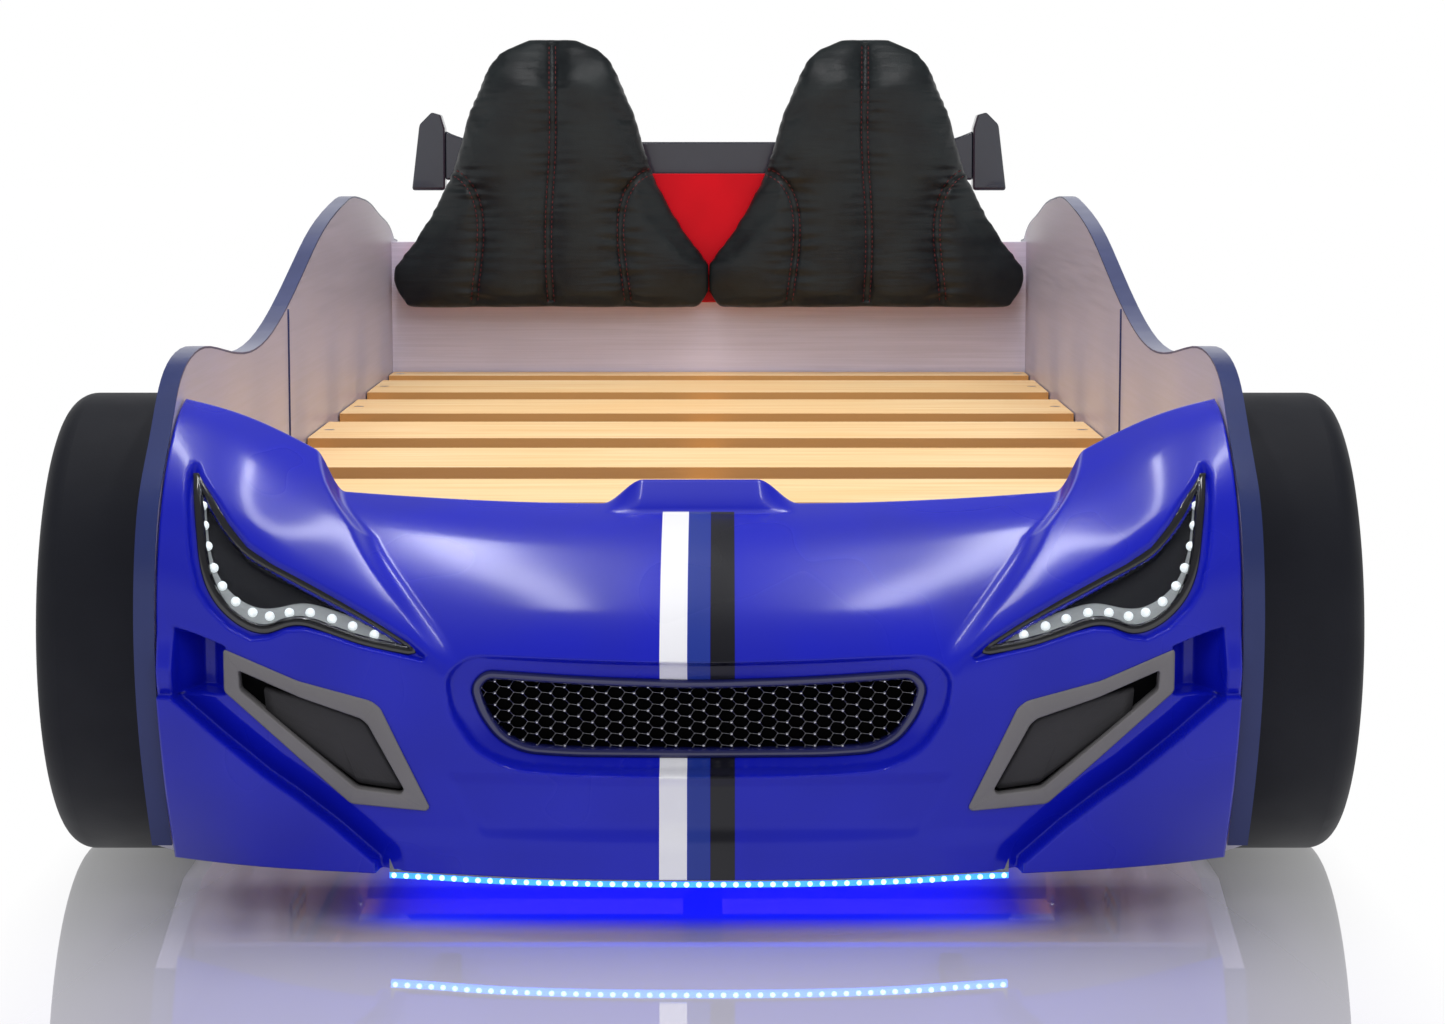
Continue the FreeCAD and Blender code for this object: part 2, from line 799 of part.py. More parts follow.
bracket_screws = []
bracket_holes = []
for x in (-wing_bracket_offset, wing_bracket_offset):
    for z in (headboard_top - 80, headboard_top - 30):
        seat = V(x, head_y + board + wing_bracket_thickness, z)
        bracket_screws.append(screw(seat, V(0, -1, 0), wing_bracket_thickness + board - 4))
        bracket_holes.append(screw_hole(seat, V(0, -1, 0), wing_bracket_thickness + board - 4))

headboard = box(-inner_half, inner_half, head_y, head_y + board, headboard_bottom, headboard_top)
headboard_holes = angle_holes + mirrored_angle_holes + box_holes + bracket_holes + [cable_hole]
headboard = headboard.cut(headboard_holes)
footboard = make_footboard(angle_holes + mirrored_angle_holes + [cable_hole])

rail = box(inner_half - rail_width, inner_half, foot_y + 2, head_y - 2, rail_bottom, slat_bottom)
beam = box(-beam_width / 2, beam_width / 2, foot_y, head_y, beam_bottom, slat_bottom)


def slat_spans():
    """Near and far edge of every board, from the headboard towards the footboard."""
    spans = [(head_y - mattress_end_gap - end_slat_width, head_y - mattress_end_gap)]
    first = spans[0][0] - (slat_pitch - slat_width) + 30
    far = first
    while far - slat_width > foot_y + end_slat_width + 60:
        spans.append((far - slat_width, far))
        far -= slat_pitch
    spans.append((foot_y + 25, foot_y + 25 + end_slat_width))
    return spans


slat_screws = []
slat_holes = []
slats = []
for low, high in slat_spans():
    middle = (low + high) / 2
    slat = box(-inner_half + slat_end_clearance, inner_half - slat_end_clearance, low, high,
               slat_bottom, slat_top)
    own_holes = []
    for side in (-1, 1):
        seat = V(side * (inner_half - rail_width / 2), middle, slat_top)
        place = seat - V(0, 0, screw_head_height)
        sunk = screw(place, V(0, 0, -1), slat_thickness + rail_height / 2)
        head_hole = rod(place, V(0, 0, 1), screw_head_radius + screw_clearance, screw_head_height)
        slat_screws.append(sunk)
        own_holes.append(screw_hole(place, V(0, 0, -1), slat_thickness + rail_height / 2))
        own_holes.append(head_hole)
    slat_holes += own_holes
    slats.append(slat.cut(own_holes))

rail = rail.cut(rail_holes + slat_holes)

legs = []
for offset in (-leg_pitch, 0, leg_pitch):
    post = box(-leg_width / 2, leg_width / 2, offset - leg_width / 2, offset + leg_width / 2, 4, beam_bottom)
    foot = rod(V(0, offset, 0), V(0, 0, 1), leg_width / 2 - 3, 4)
    legs.append(post.fuse(foot))

glides = []
for side in (-1, 1):
    for y in (along(sweep_start) + 120, seam_y - 80, seam_y + 80, rear_y - 90):
        glides.append(rod(V(side * (inner_half + board / 2), y, 0), V(0, 0, 1), board / 2, glide_height))

# ---- Cushions ----

# half outline of a cushion: height above its lower edge, half width, seam distance
seat_rows = [
    (0, 214, 113), (24, 227, 108), (62, 226, 106), (90, 205, 102), (130, 176, 99), (160, 160, 103),
    (192, 145, 120), (235, 130, 118), (283, 115, 106), (318, 100, 93), (352, 84, 79), (374, 60, 57),
    (384, 34, 33),
]


def seat_section(height, half, seam):
    """One level slice: a flat back, two flanks and four quilted bulges between the seams."""
    z = seat_bottom + height
    top_share = min(1.0, (388.0 - height) / 60.0)
    share = math.sqrt(max(top_share, 0.05))
    crown = seat_crown * share
    edge = seat_edge * share
    back = 0.0
    half = half * x_scale
    seam = seam * x_scale

    def at(x, depth):
        return V(x, back - depth, z)

    seam_rise = edge + (crown - edge) * 0.72
    middle_rise = crown - seat_seam_depth * share
    bulge = seat_seam_depth * share
    right = half
    points = [at(-right, 0), at(-right, edge), at(-seam, seam_rise), at(0, middle_rise)]
    points += [at(seam, seam_rise), at(right, edge), at(right, 0)]
    edges = [Part.makeLine(points[0], points[1])]
    for k in range(1, 5):
        start = points[k]
        end = points[k + 1]
        middle = (start + end) * 0.5
        run = end - start
        normal = V(run.y, -run.x, 0)
        normal.normalize()
        if normal.y > 0:
            normal = normal * -1
        lift = min(bulge, run.Length * 0.2)
        edges.append(Part.Arc(start, middle + normal * lift, end).toShape())
    edges.append(Part.makeLine(points[5], points[6]))
    edges.append(Part.makeLine(points[6], points[0]))
    return Part.Wire(edges)


def make_seat_pad():
    sections = [seat_section(*row) for row in seat_rows]
    pad = Part.makeLoft(sections, True, False)
    if not pad.isValid():
        pad = Part.makeLoft(sections, True, True)
    return pad


seat_face = head_y - seat_board
pad_blank = make_seat_pad()
seat_right = pad_blank.copy()
seat_right.translate(V(seat_spacing / 2 * x_scale, seat_face, 0))
seat_right = seat_right.common(box(1, outer_half, seat_face - 200, seat_face, 0, 1000))
seat_left = mirrored(seat_right)


def make_seat_board():
    """The red backing board: both cushions' outlines and the wedge between them."""
    centre = seat_spacing / 2
    right = []
    for height, half, seam in seat_rows:
        right.append((centre + half - seat_board_inset, seat_bottom + max(height, 3)))
    right.append((centre, seat_bottom + 384))
    for height, half, seam in reversed(seat_rows):
        if height > 183:
            right.append((centre - half + seat_board_inset, seat_bottom + height))
    left = [(-x, z) for x, z in reversed(right)]
    outline = right + left
    points = [V(x * x_scale, seat_face, z) for x, z in outline]
    return polygon_face(points).extrude(V(0, seat_board, 0))


# ---- Wing ----

wing_y = head_y + wing_from_head


def make_wing_blade():
    end_bottom = wing_middle_bottom - 3
    end_top = wing_middle_bottom + wing_middle_height + 16
    half = wing_half_span * x_scale
    knee = half - 90
    top = wing_middle_bottom + wing_middle_height
    low = wing_middle_bottom

    def at(x, z):
        return V(x, wing_y, z)

    edges = [Part.makeLine(at(-knee, low), at(knee, low))]
    edges.append(Part.Arc(at(knee, low), at(half - 40, low - 1), at(half, end_bottom)).toShape())
    edges.append(Part.makeLine(at(half, end_bottom), at(half, end_top)))
    edges.append(Part.Arc(at(half, end_top), at(half - 32, top + 4), at(knee, top)).toShape())
    edges.append(Part.makeLine(at(knee, top), at(-knee, top)))
    edges.append(Part.Arc(at(-knee, top), at(-half + 32, top + 4), at(-half, end_top)).toShape())
    edges.append(Part.makeLine(at(-half, end_top), at(-half, end_bottom)))
    edges.append(Part.Arc(at(-half, end_bottom), at(-half + 40, low - 1), at(-knee, low)).toShape())
    face = Part.Face(Part.Wire(edges))
    return face.extrude(V(0, wing_depth - 6, 0))


def make_end_plate():
    half = wing_half_span * x_scale
    low = wing_middle_bottom - 18
    top = wing_middle_bottom + 98
    t = wing_plate_thickness
    outline = [(half, low), (half, top - 24), (half + 6, top - 4), (half + 20, top),
               (half + 20 + t * 0.9, top - 18), (half + 30 + t, low)]
    points = [V(x, wing_y - 3, z) for x, z in outline]
    return polygon_face(points).extrude(V(0, wing_depth, 0))


def make_wing_bracket(x):
    """A flat steel strut from the headboard's back up to the wing, cranked rearwards."""
    t = wing_bracket_thickness
    x0 = x - wing_bracket_width / 2
    x1 = x + wing_bracket_width / 2
    lower_z = headboard_top - 100
    crank_z = headboard_top + 20
    upper_z = wing_middle_bottom + wing_middle_height - 12
    y0 = head_y + board
    y1 = wing_y - t
    plate_low = box(x0, x1, y0, y0 + t, lower_z, crank_z)
    shelf = box(x0, x1, y0, y1 + t, crank_z - t, crank_z)
    plate_high = box(x0, x1, y1, y1 + t, crank_z - t, upper_z)
    return plate_low.fuse([shelf, plate_high]).removeSplitter()


# ---- Light control ----

rocker_x = box_x + box_width * 0.7
rocker_z = box_bottom + box_height / 2
cover_y = box_y + box_depth
pivot = V(rocker_x, cover_y - rocker_pin_depth, rocker_z)


def make_control_box():
    outer = box(box_x, box_x + box_width, box_y, box_y + box_depth - cover_thickness, box_bottom,
                box_bottom + box_height)
    room = box(box_x + box_wall, box_x + box_width - box_wall, box_y + box_wall, cover_y,
               box_bottom + box_wall, box_bottom + box_height - box_wall)
    inlet = rod(V(box_x, box_y + box_depth / 2, rocker_z), V(1, 0, 0), inlet_radius, box_wall)
    return outer.cut([room, inlet] + box_holes)


def make_control_cover():
    plate = box(box_x, box_x + box_width, cover_y - cover_thickness, cover_y, box_bottom,
                box_bottom + box_height)
    c = rocker_clearance
    window = box(rocker_x - rocker_width / 2 - c, rocker_x + rocker_width / 2 + c, cover_y - 10,
                 cover_y + 1, rocker_z - rocker_height / 2 - c, rocker_z + rocker_height / 2 + c)
    plate = plate.cut(window)
    ears = []
    for side in (-1, 1):
        x0 = rocker_x + side * (rocker_width / 2 + c)
        x1 = x0 + side * rocker_ear
        ear = box(min(x0, x1), max(x0, x1), pivot.y - 4, cover_y - cover_thickness, pivot.z - 4, pivot.z + 4)
        ears.append(ear)
    pin_hole = rod(pivot - V(rocker_width, 0, 0), V(1, 0, 0), rocker_pin_radius, 2 * rocker_width)
    return plate.fuse(ears).removeSplitter().cut(pin_hole)


def make_rocker():
    """A two-facet rocker on its cross pin, built with the lower facet pressed in."""
    w = rocker_width / 2
    h = rocker_height / 2
    face = cover_y + rocker_proud
    dip = h * math.tan(math.radians(rocker_tilt))
    back = pivot.y - rocker_depth
    profile = [(-h, face), (0, face - dip), (h, face), (h * 0.7, back), (-h * 0.7, back)]
    points = [V(rocker_x - w, y, rocker_z + z) for z, y in profile]
    body = polygon_face(points).extrude(V(2 * w, 0, 0))
    bore = rod(pivot - V(w + 1, 0, 0), V(1, 0, 0), rocker_pin_radius + rocker_pin_fit, 2 * w + 2)
    body = body.cut(bore)
    body.rotate(pivot, V(1, 0, 0), -rocker_tilt)
    return body


def make_rocker_pin():
    half = rocker_width / 2 + rocker_clearance + rocker_ear
    return rod(pivot - V(half, 0, 0), V(1, 0, 0), rocker_pin_radius, 2 * half)


cable_start = V(box_x + 18, box_y + box_depth / 2, box_bottom)

# ---- Cable inside the bed ----

# from the control box down behind the headboard, through it, along the left side board under
# the slats, and through the footboard to the junction box behind the bumper
junction_y = foot_y - board
cable_route = [
    cable_start,
    V(cable_start.x, cable_start.y, box_bottom - 26),
    V(cable_start.x - 30, cable_start.y, cable_height + 6),
    V(cable_x + 40, cable_start.y, cable_height),
    V(cable_x, cable_start.y, cable_height),
    V(cable_x, junction_y, cable_height),
]


def tangent_path(points):
    """Straight runs joined by tangent arcs, each as large as its two runs allow."""
    edges = []
    start = points[0]
    for i in range(1, len(points) - 1):
        before = points[i] - points[i - 1]
        after = points[i + 1] - points[i]
        way_in = V(before).normalize()
        way_out = V(after).normalize()
        turn = way_in.getAngle(way_out)
        trim = 0.45 * min(before.Length, after.Length)
        radius = trim / math.tan(turn / 2)
        enter = points[i] - way_in * trim
        leave = points[i] + way_out * trim
        bisector = way_out - way_in
        bisector.normalize()
        apex = points[i] + bisector * (radius / math.cos(turn / 2) - radius)
        edges.append(Part.makeLine(start, enter))
        edges.append(Part.Arc(enter, apex, leave).toShape())
        start = leave
        print("cable arc radius", round(radius, 1))
    edges.append(Part.makeLine(start, points[-1]))
    return Part.Wire(edges)


def sweep_tube(path, radius):
    first = path.Edges[0]
    start = first.Vertexes[0].Point
    way = first.Vertexes[1].Point - start
    ring = Part.Wire(Part.makeCircle(radius, start, way))
    return path.makePipeShell([ring], True, False)


def make_junction_box():
    return box(cable_x - junction_width / 2, cable_x + junction_width / 2, junction_y - junction_depth,
               junction_y, cable_height - junction_height / 2, cable_height + junction_height / 2)


def make_inlet():
    """A round low-voltage socket through the control box's side wall."""
    start = V(box_x - 2, box_y + box_depth / 2, rocker_z)
    way = V(1, 0, 0)
    barrel = rod(start, way, inlet_radius, inlet_length)
    collar = rod(start, way, inlet_radius + 2, 2)
    return barrel.fuse(collar).cut(rod(start, way, inlet_bore, inlet_length - 3))


# ---- Files ----

def save_pair(name, right):
    save(name + "_right", right)
    save(name + "_left", mirrored(right))


def both_sides(solids):
    return group(solids + [mirrored(s) for s in solids])


save_pair("side_panel_front", side_front)
save_pair("side_panel_rear", side_rear)
save("edge_bands", both_sides([band]))
save("panel_joint_plates", both_sides([joint_plate]))
save("corner_angles", both_sides(angles))
save("frame_screws", both_sides(angle_screws + plate_screws + rail_screws + rib_screws))

save("headboard", headboard)
save("footboard", footboard.cut(rib_holes))
save("slat_rails", both_sides([rail]))
save("centre_beam", beam)
save("centre_legs", group(legs))
save("floor_glides", group(glides))
for number, slat in enumerate(slats, 1):
    save("slat_" + str(number), slat)
save("slat_screws", group(slat_screws))

save("bumper_shell", make_bumper_shell())
save("bumper_ribs", both_sides([rib.cut(rib_holes) for rib in ribs]))
save("grille_frame", make_grille_frame())
save("grille_mesh", make_grille_mesh())
save_pair("headlight_housing", make_tray(lamp_outline, 0, lens_setback - 1, lamp_depth))
save_pair("headlight_lens", make_lens(lamp_outline))
save("headlight_led_guides", both_sides([make_led_guide()]))
save_pair("intake_bezel", make_bezel())
save("intake_inserts", both_sides([make_intake_insert()]))
save("underglow_channel", glow_channel)
save("underglow_strip", glow_strip)

for place, wheel_y in wheel_sites.items():
    hub = V(outer_half, wheel_y, tyre_radius)
    tyre = make_tyre()
    tyre.translate(hub)
    save_pair("tyre_" + place, tyre)
    rim = make_rim()
    rim.translate(hub)
    save_pair("wheel_rim_" + place, rim.cut(wheel_holes))
save("hub_caps", both_sides(hub_caps))
save("wheel_bolts", both_sides(wheel_bolts))

save("seat_pad_right", seat_right)
save("seat_pad_left", seat_left)
save("seat_back_board", make_seat_board())
save("wing_blade", make_wing_blade())
save("wing_end_plates", both_sides([make_end_plate()]))
save("wing_brackets", both_sides([make_wing_bracket(wing_bracket_offset).cut(bracket_holes)]))

save("control_box", make_control_box())
save("control_box_cover", make_control_cover())
save("headboard_screws", group(bracket_screws + box_screws))
save("rocker_switch", make_rocker())
save("rocker_pin", make_rocker_pin())
save("power_inlet", make_inlet())
save("light_cable", sweep_tube(tangent_path(cable_route), cable_radius))
save("junction_box", make_junction_box())
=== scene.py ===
# %% [markdown]
# # Car bed for children
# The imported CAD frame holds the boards, slats, wheels, lamps and fittings at their real size. This
# script gives every one of them a finish, and builds the pieces whose shape is too soft or too
# sculpted for plain solids: the bumper shell, the headlights, the grille, the cushions and trim.

# %% Load the frame
import math

import bmesh
import bpy
import numpy as np
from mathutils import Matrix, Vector, noise
from mathutils.bvhtree import BVHTree


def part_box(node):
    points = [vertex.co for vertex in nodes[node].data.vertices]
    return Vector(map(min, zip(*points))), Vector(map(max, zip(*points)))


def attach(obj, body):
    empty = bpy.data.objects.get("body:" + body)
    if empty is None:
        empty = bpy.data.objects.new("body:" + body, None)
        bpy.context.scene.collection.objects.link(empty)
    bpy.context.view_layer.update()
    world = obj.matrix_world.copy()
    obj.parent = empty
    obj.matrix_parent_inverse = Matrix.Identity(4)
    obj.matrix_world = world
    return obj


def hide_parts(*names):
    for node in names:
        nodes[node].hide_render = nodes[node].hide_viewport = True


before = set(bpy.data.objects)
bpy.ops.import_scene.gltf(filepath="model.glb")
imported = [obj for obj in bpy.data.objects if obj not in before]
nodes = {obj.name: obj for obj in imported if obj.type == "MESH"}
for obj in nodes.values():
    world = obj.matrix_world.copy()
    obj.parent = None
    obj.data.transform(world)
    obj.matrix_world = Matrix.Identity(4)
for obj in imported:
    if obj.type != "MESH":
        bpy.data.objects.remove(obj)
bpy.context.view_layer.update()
BED = "bed"
print("nodes in the frame:", len(nodes))

# %% [markdown]
# The bed's own places are read from the frame, so that every modelled piece sits where the solids
# sit. They could be typed in again, but a changed board would then leave its neighbours behind. The
# bumper starts at the footboard and is as wide as its solid, and the camera stands off from the
# headboard.

# %% Places read from the frame
MM = 0.001
foot_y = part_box("footboard")[1][1]
head_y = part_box("headboard")[0][1]
nose_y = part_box("bumper_shell")[0][1]
bumper_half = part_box("bumper_shell")[1][0]
print("bumper from", round(nose_y, 3), "to", round(foot_y, 3), "half width", round(bumper_half, 3))

# %% [markdown]
# Most meshes here are sheets of points in rows and columns. A ready-made cube or plane would need
# many edits to follow a moulded shape, so the points are worked out first and handed over at once.
# One helper turns such a sheet into an object with smooth shading, and others give it a thickness
# or its edges a small radius.

# %% Mesh helpers


def new_object(name, verts, faces, material, body=BED, smooth=True, forward=True):
    """A mesh object that rides on a body of the frame; its sheets are turned to face forward."""
    mesh = bpy.data.meshes.new(name)
    mesh.from_pydata([tuple(v) for v in verts], [], faces)
    mesh.validate()
    mesh.update()
    if forward and sum(p.normal.y * p.area for p in mesh.polygons) > 0:
        mesh.flip_normals()
    mesh.polygons.foreach_set("use_smooth", [smooth] * len(mesh.polygons))
    obj = bpy.data.objects.new(name, mesh)
    bpy.context.scene.collection.objects.link(obj)
    if material:
        mesh.materials.append(material)
    if body:
        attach(obj, body)
    return obj


def sheet_faces(columns, rows, keep=None):
    """Quads of a sheet whose point (i, j) has the index i * rows + j."""
    i, j = np.meshgrid(np.arange(columns - 1), np.arange(rows - 1), indexing="ij")
    a = (i * rows + j).ravel()
    quads = np.stack([a, a + rows, a + rows + 1, a + 1], axis=1)
    if keep is not None:
        quads = quads[keep[:-1, :-1].ravel()]
    return quads.tolist()


def drop_loose_points(obj):
    """Deletes points that no face uses."""
    bm = bmesh.new()
    bm.from_mesh(obj.data)
    bmesh.ops.delete(bm, geom=[v for v in bm.verts if not v.link_faces], context="VERTS")
    bm.to_mesh(obj.data)
    bm.free()


def thicken(obj, thickness, offset=-1.0):
    mod = obj.modifiers.new("thickness", "SOLIDIFY")
    mod.thickness = thickness
    mod.offset = offset
    return mod


def round_edges(obj, width, segments=2, angle=35):
    """A small radius on every sharp edge, with shading that keeps the flat faces flat."""
    mod = obj.modifiers.new("edge radius", "BEVEL")
    mod.width = width
    mod.segments = segments
    mod.limit_method = "ANGLE"
    mod.angle_limit = math.radians(angle)
    mod.harden_normals = True
    return mod


def apply_modifiers(obj):
    """Replaces the object's mesh by its evaluated one."""
    graph = bpy.context.evaluated_depsgraph_get()
    graph.update()
    mesh = bpy.data.meshes.new_from_object(obj.evaluated_get(graph))
    obj.modifiers.clear()
    obj.data = mesh
    return obj


# %% [markdown]
# Materials are built from nodes. Pictures could be wrapped round the parts instead, but nodes stay
# sharp from near by and need no unwrapping. A few helpers keep them readable: one makes a material
# with its Principled shader, one adds a node with its values, one places a shared node group.

# %% Material helpers


def add_node(tree, kind, values=None, **settings):
    """A node with settings on the node itself and values on its input sockets."""
    node = tree.nodes.new(kind)
    for key, value in settings.items():
        setattr(node, key, value)
    for key, value in (values or {}).items():
        node.inputs[key].default_value = value
    return node


def new_material(name, color=(0.5, 0.5, 0.5), roughness=0.5, **sockets):
    """A material with a Principled shader whose constant sockets are set here."""
    material = bpy.data.materials.new(name)
    material.use_nodes = True
    shader = material.node_tree.nodes["Principled BSDF"]
    shader.inputs["Base Color"].default_value = (*color, 1.0)
    shader.inputs["Roughness"].default_value = roughness
    for key, value in sockets.items():
        shader.inputs[key.replace("_", " ")].default_value = value
    return material, material.node_tree, shader


def place_group(tree, group, values=None):
    node = tree.nodes.new("ShaderNodeGroup")
    node.node_tree = group
    for key, value in (values or {}).items():
        node.inputs[key].default_value = value
    return node


def new_group(name, inputs, outputs):
    """An empty node group with named sockets: lists of (name, kind, default)."""
    group = bpy.data.node_groups.new(name, "ShaderNodeTree")
    for label, kind, default in inputs:
        socket = group.interface.new_socket(label, in_out="INPUT", socket_type=kind)
        if default is not None:
            socket.default_value = default
    for label, kind in outputs:
        group.interface.new_socket(label, in_out="OUTPUT", socket_type=kind)
    start = group.nodes.new("NodeGroupInput")
    end = group.nodes.new("NodeGroupOutput")
    return group, start, end


FLOAT = "NodeSocketFloat"
VECTOR = "NodeSocketVector"

# %% [markdown]
# ## Shared surface effects
# Moulded plastic is never perfectly smooth: gloss varies a little over a hand's width, and a fine
# grain breaks up the light. Boards and metal have the same habits at other scales, so the effects
# are groups with inputs, placed in each material with its own values.

# %% Node group: fine grain, as a height and a mask


def make_grain_group():
    """Noise at one size in metres, as a height around zero and as a soft mask."""
    group, start, end = new_group(
        "fine grain", [("Size", FLOAT, 0.002), ("Detail", FLOAT, 3.0)], [("Height", FLOAT), ("Mask", FLOAT)])
    place = add_node(group, "ShaderNodeTexCoord")
    frequency = add_node(group, "ShaderNodeMath", {0: 1.0}, operation="DIVIDE")
    cloud = add_node(group, "ShaderNodeTexNoise", {"Roughness": 0.6})
    mask = add_node(group, "ShaderNodeMapRange", {"From Min": 0.35, "From Max": 0.65})
    group.links.new(start.outputs["Size"], frequency.inputs[1])
    group.links.new(place.outputs["Object"], cloud.inputs["Vector"])
    group.links.new(frequency.outputs[0], cloud.inputs["Scale"])
    group.links.new(start.outputs["Detail"], cloud.inputs["Detail"])
    group.links.new(cloud.outputs["Fac"], mask.inputs["Value"])
    group.links.new(cloud.outputs["Fac"], end.inputs["Height"])
    group.links.new(mask.outputs["Result"], end.inputs["Mask"])
    return group


grain_group = make_grain_group()

# %% Node group: a band across one axis


def make_band_group():
    """1 between two places along an axis value, with a soft border."""
    group, start, end = new_group(
        "band", [("Value", FLOAT, 0.0), ("Low", FLOAT, 0.0), ("High", FLOAT, 1.0), ("Border", FLOAT, 0.0004)],
        [("Mask", FLOAT)])
    low_end = add_node(group, "ShaderNodeMath", operation="ADD")
    high_end = add_node(group, "ShaderNodeMath", operation="SUBTRACT")
    rise = add_node(group, "ShaderNodeMapRange")
    fall = add_node(group, "ShaderNodeMapRange", {"To Min": 1.0, "To Max": 0.0})
    product = add_node(group, "ShaderNodeMath", operation="MULTIPLY")
    links = group.links
    links.new(start.outputs["Low"], low_end.inputs[0])
    links.new(start.outputs["Border"], low_end.inputs[1])
    links.new(start.outputs["High"], high_end.inputs[0])
    links.new(start.outputs["Border"], high_end.inputs[1])
    links.new(start.outputs["Value"], rise.inputs["Value"])
    links.new(start.outputs["Low"], rise.inputs["From Min"])
    links.new(low_end.outputs[0], rise.inputs["From Max"])
    links.new(start.outputs["Value"], fall.inputs["Value"])
    links.new(high_end.outputs[0], fall.inputs["From Min"])
    links.new(start.outputs["High"], fall.inputs["From Max"])
    links.new(rise.outputs["Result"], product.inputs[0])
    links.new(fall.outputs["Result"], product.inputs[1])
    links.new(product.outputs[0], end.inputs["Mask"])
    return group


band_group = make_band_group()
print("shared groups:", grain_group.name + ",", band_group.name)

# %% Helpers for values and colours in a material


def mix_colors(tree, mask, low, high):
    """Colour between low and high by a mask; each may be a colour or a socket."""
    mix = tree.nodes.new("ShaderNodeMix")
    mix.data_type = "RGBA"
    tree.links.new(mask, mix.inputs["Factor"])
    for socket, value in ((mix.inputs[6], low), (mix.inputs[7], high)):
        if isinstance(value, tuple):
            socket.default_value = (*value, 1.0)
        else:
            tree.links.new(value, socket)
    return mix.outputs[2]


def spread(tree, value, start, end, low=0.0, high=1.0):
    """Low where the value is at its start, high where it is at its end, and even between them."""
    ends = {"From Min": start, "From Max": end, "To Min": low, "To Max": high}
    reach = add_node(tree, "ShaderNodeMapRange", ends)
    tree.links.new(value, reach.inputs["Value"])
    return reach.outputs["Result"]


def vary(tree, mask, low, high):
    """A number between low and high by a mask."""
    return spread(tree, mask, 0.0, 1.0, low, high)


def combined(tree, operation, first, second):
    """Two values joined by one arithmetic step."""
    step = add_node(tree, "ShaderNodeMath", operation=operation)
    tree.links.new(first, step.inputs[0])
    tree.links.new(second, step.inputs[1])
    return step.outputs[0]


def xyz_of(tree, place):
    """The three parts of a place or direction."""
    parts = add_node(tree, "ShaderNodeSeparateXYZ")
    tree.links.new(place, parts.inputs[0])
    return parts.outputs


def bump(tree, height, strength, distance, normal=None):
    node = add_node(tree, "ShaderNodeBump", {"Strength": strength, "Distance": distance})
    tree.links.new(height, node.inputs["Height"])
    if normal is not None:
        tree.links.new(normal, node.inputs["Normal"])
    return node.outputs["Normal"]


# %% Moulded plastic, the commonest finish


def moulded_plastic(name, color, roughness, grain_size=0.0008, grain_depth=0.00003, gloss_drift=0.04,
                    **sockets):
    """Plastic with a fine grain, a little drift in its gloss and in its colour."""
    material, tree, shader = new_material(name, color, roughness, **sockets)
    grain = place_group(tree, grain_group, {"Size": grain_size})
    drift = place_group(tree, grain_group, {"Size": 0.09, "Detail": 2.0})
    darker = tuple(c * 0.9 for c in color)
    cloud = drift.outputs["Mask"]
    tree.links.new(mix_colors(tree, cloud, color, darker), shader.inputs["Base Color"])
    tree.links.new(vary(tree, cloud, roughness, roughness + gloss_drift), shader.inputs["Roughness"])
    tree.links.new(bump(tree, grain.outputs["Height"], 0.5, grain_depth), shader.inputs["Normal"])
    return material


# %% [markdown]
# ## Bumper surface
# The real bumper is one vacuum-formed sheet. It could be sculpted by hand, or joined from patches,
# but its gloss would show every dent and seam. So its skin is one grid of points: hood_columns give
# the low middle surface and fender_columns the raised one at each side, as distance ahead of the
# footboard and height. They meet along the fender ridge. The grid is smoothed so that the gloss
# runs without waves, and every recess is then pressed into it by its distance from an outline.

# %% Columns of the bumper's skin, in millimetres
hood_columns = [
    (0, [(0, 350), (45, 341), (90, 326), (135, 304), (171, 279), (199, 250),
         (216, 225), (224, 195), (227, 160), (228, 125), (230, 90), (235, 54)]),
    (150, [(0, 351), (45, 341), (88, 326), (131, 303), (166, 277), (193, 249),
           (209, 225), (217, 195), (220, 160), (221, 125), (222, 90), (226, 54)]),
    (300, [(0, 359), (43, 349), (83, 332), (120, 309), (151, 281), (179, 253),
           (195, 226), (201, 195), (203, 160), (201, 125), (197, 90), (189, 54)]),
    (380, [(0, 366), (42, 355), (80, 338), (114, 314), (144, 286), (172, 258),
           (187, 230), (189, 195), (186, 160), (179, 125), (169, 88), (153, 50)]),
    (468, [(0, 378), (40, 366), (76, 348), (108, 324), (138, 296), (164, 268),
           (180, 240), (171, 198), (157, 160), (139, 120), (115, 80), (91, 45)]),
]
fender_columns = [
    (0, [(0, 190), (50, 190), (95, 190), (137, 190), (163, 200), (190, 230),
         (216, 225), (224, 195), (227, 160), (228, 125), (230, 90), (235, 54)]),
    (230, [(0, 334), (50, 322), (94, 306), (137, 288), (167, 272), (194, 252),
           (205, 226), (210, 195), (212, 160), (212, 125), (211, 90), (208, 54)]),
    (300, [(0, 372), (48, 358), (93, 340), (137, 318), (168, 296), (190, 265),
           (198, 230), (202, 195), (203, 160), (201, 125), (197, 90), (189, 54)]),
    (340, [(0, 394), (48, 377), (94, 356), (137, 332), (168, 305), (189, 267),
           (195, 232), (197, 195), (196, 160), (192, 125), (185, 90), (173, 52)]),
    (380, [(0, 416), (49, 400), (95, 378), (137, 350), (165, 318), (184, 275),
           (189, 238), (189, 195), (186, 160), (179, 125), (169, 88), (153, 50)]),
    (420, [(0, 434), (50, 421), (95, 399), (136, 371), (161, 333), (178, 285),
           (182, 242), (180, 198), (173, 160), (161, 122), (145, 84), (125, 47)]),
    (468, [(0, 446), (46, 437), (88, 414), (124, 386), (154, 350), (174, 302),
           (180, 246), (171, 198), (157, 160), (139, 120), (115, 80), (91, 45)]),
]
ridge_x = [337, 326, 303, 279, 252, 226, 212]
RIDGE_SOFTNESS = 13.0
SKIN_HALF = 468.0
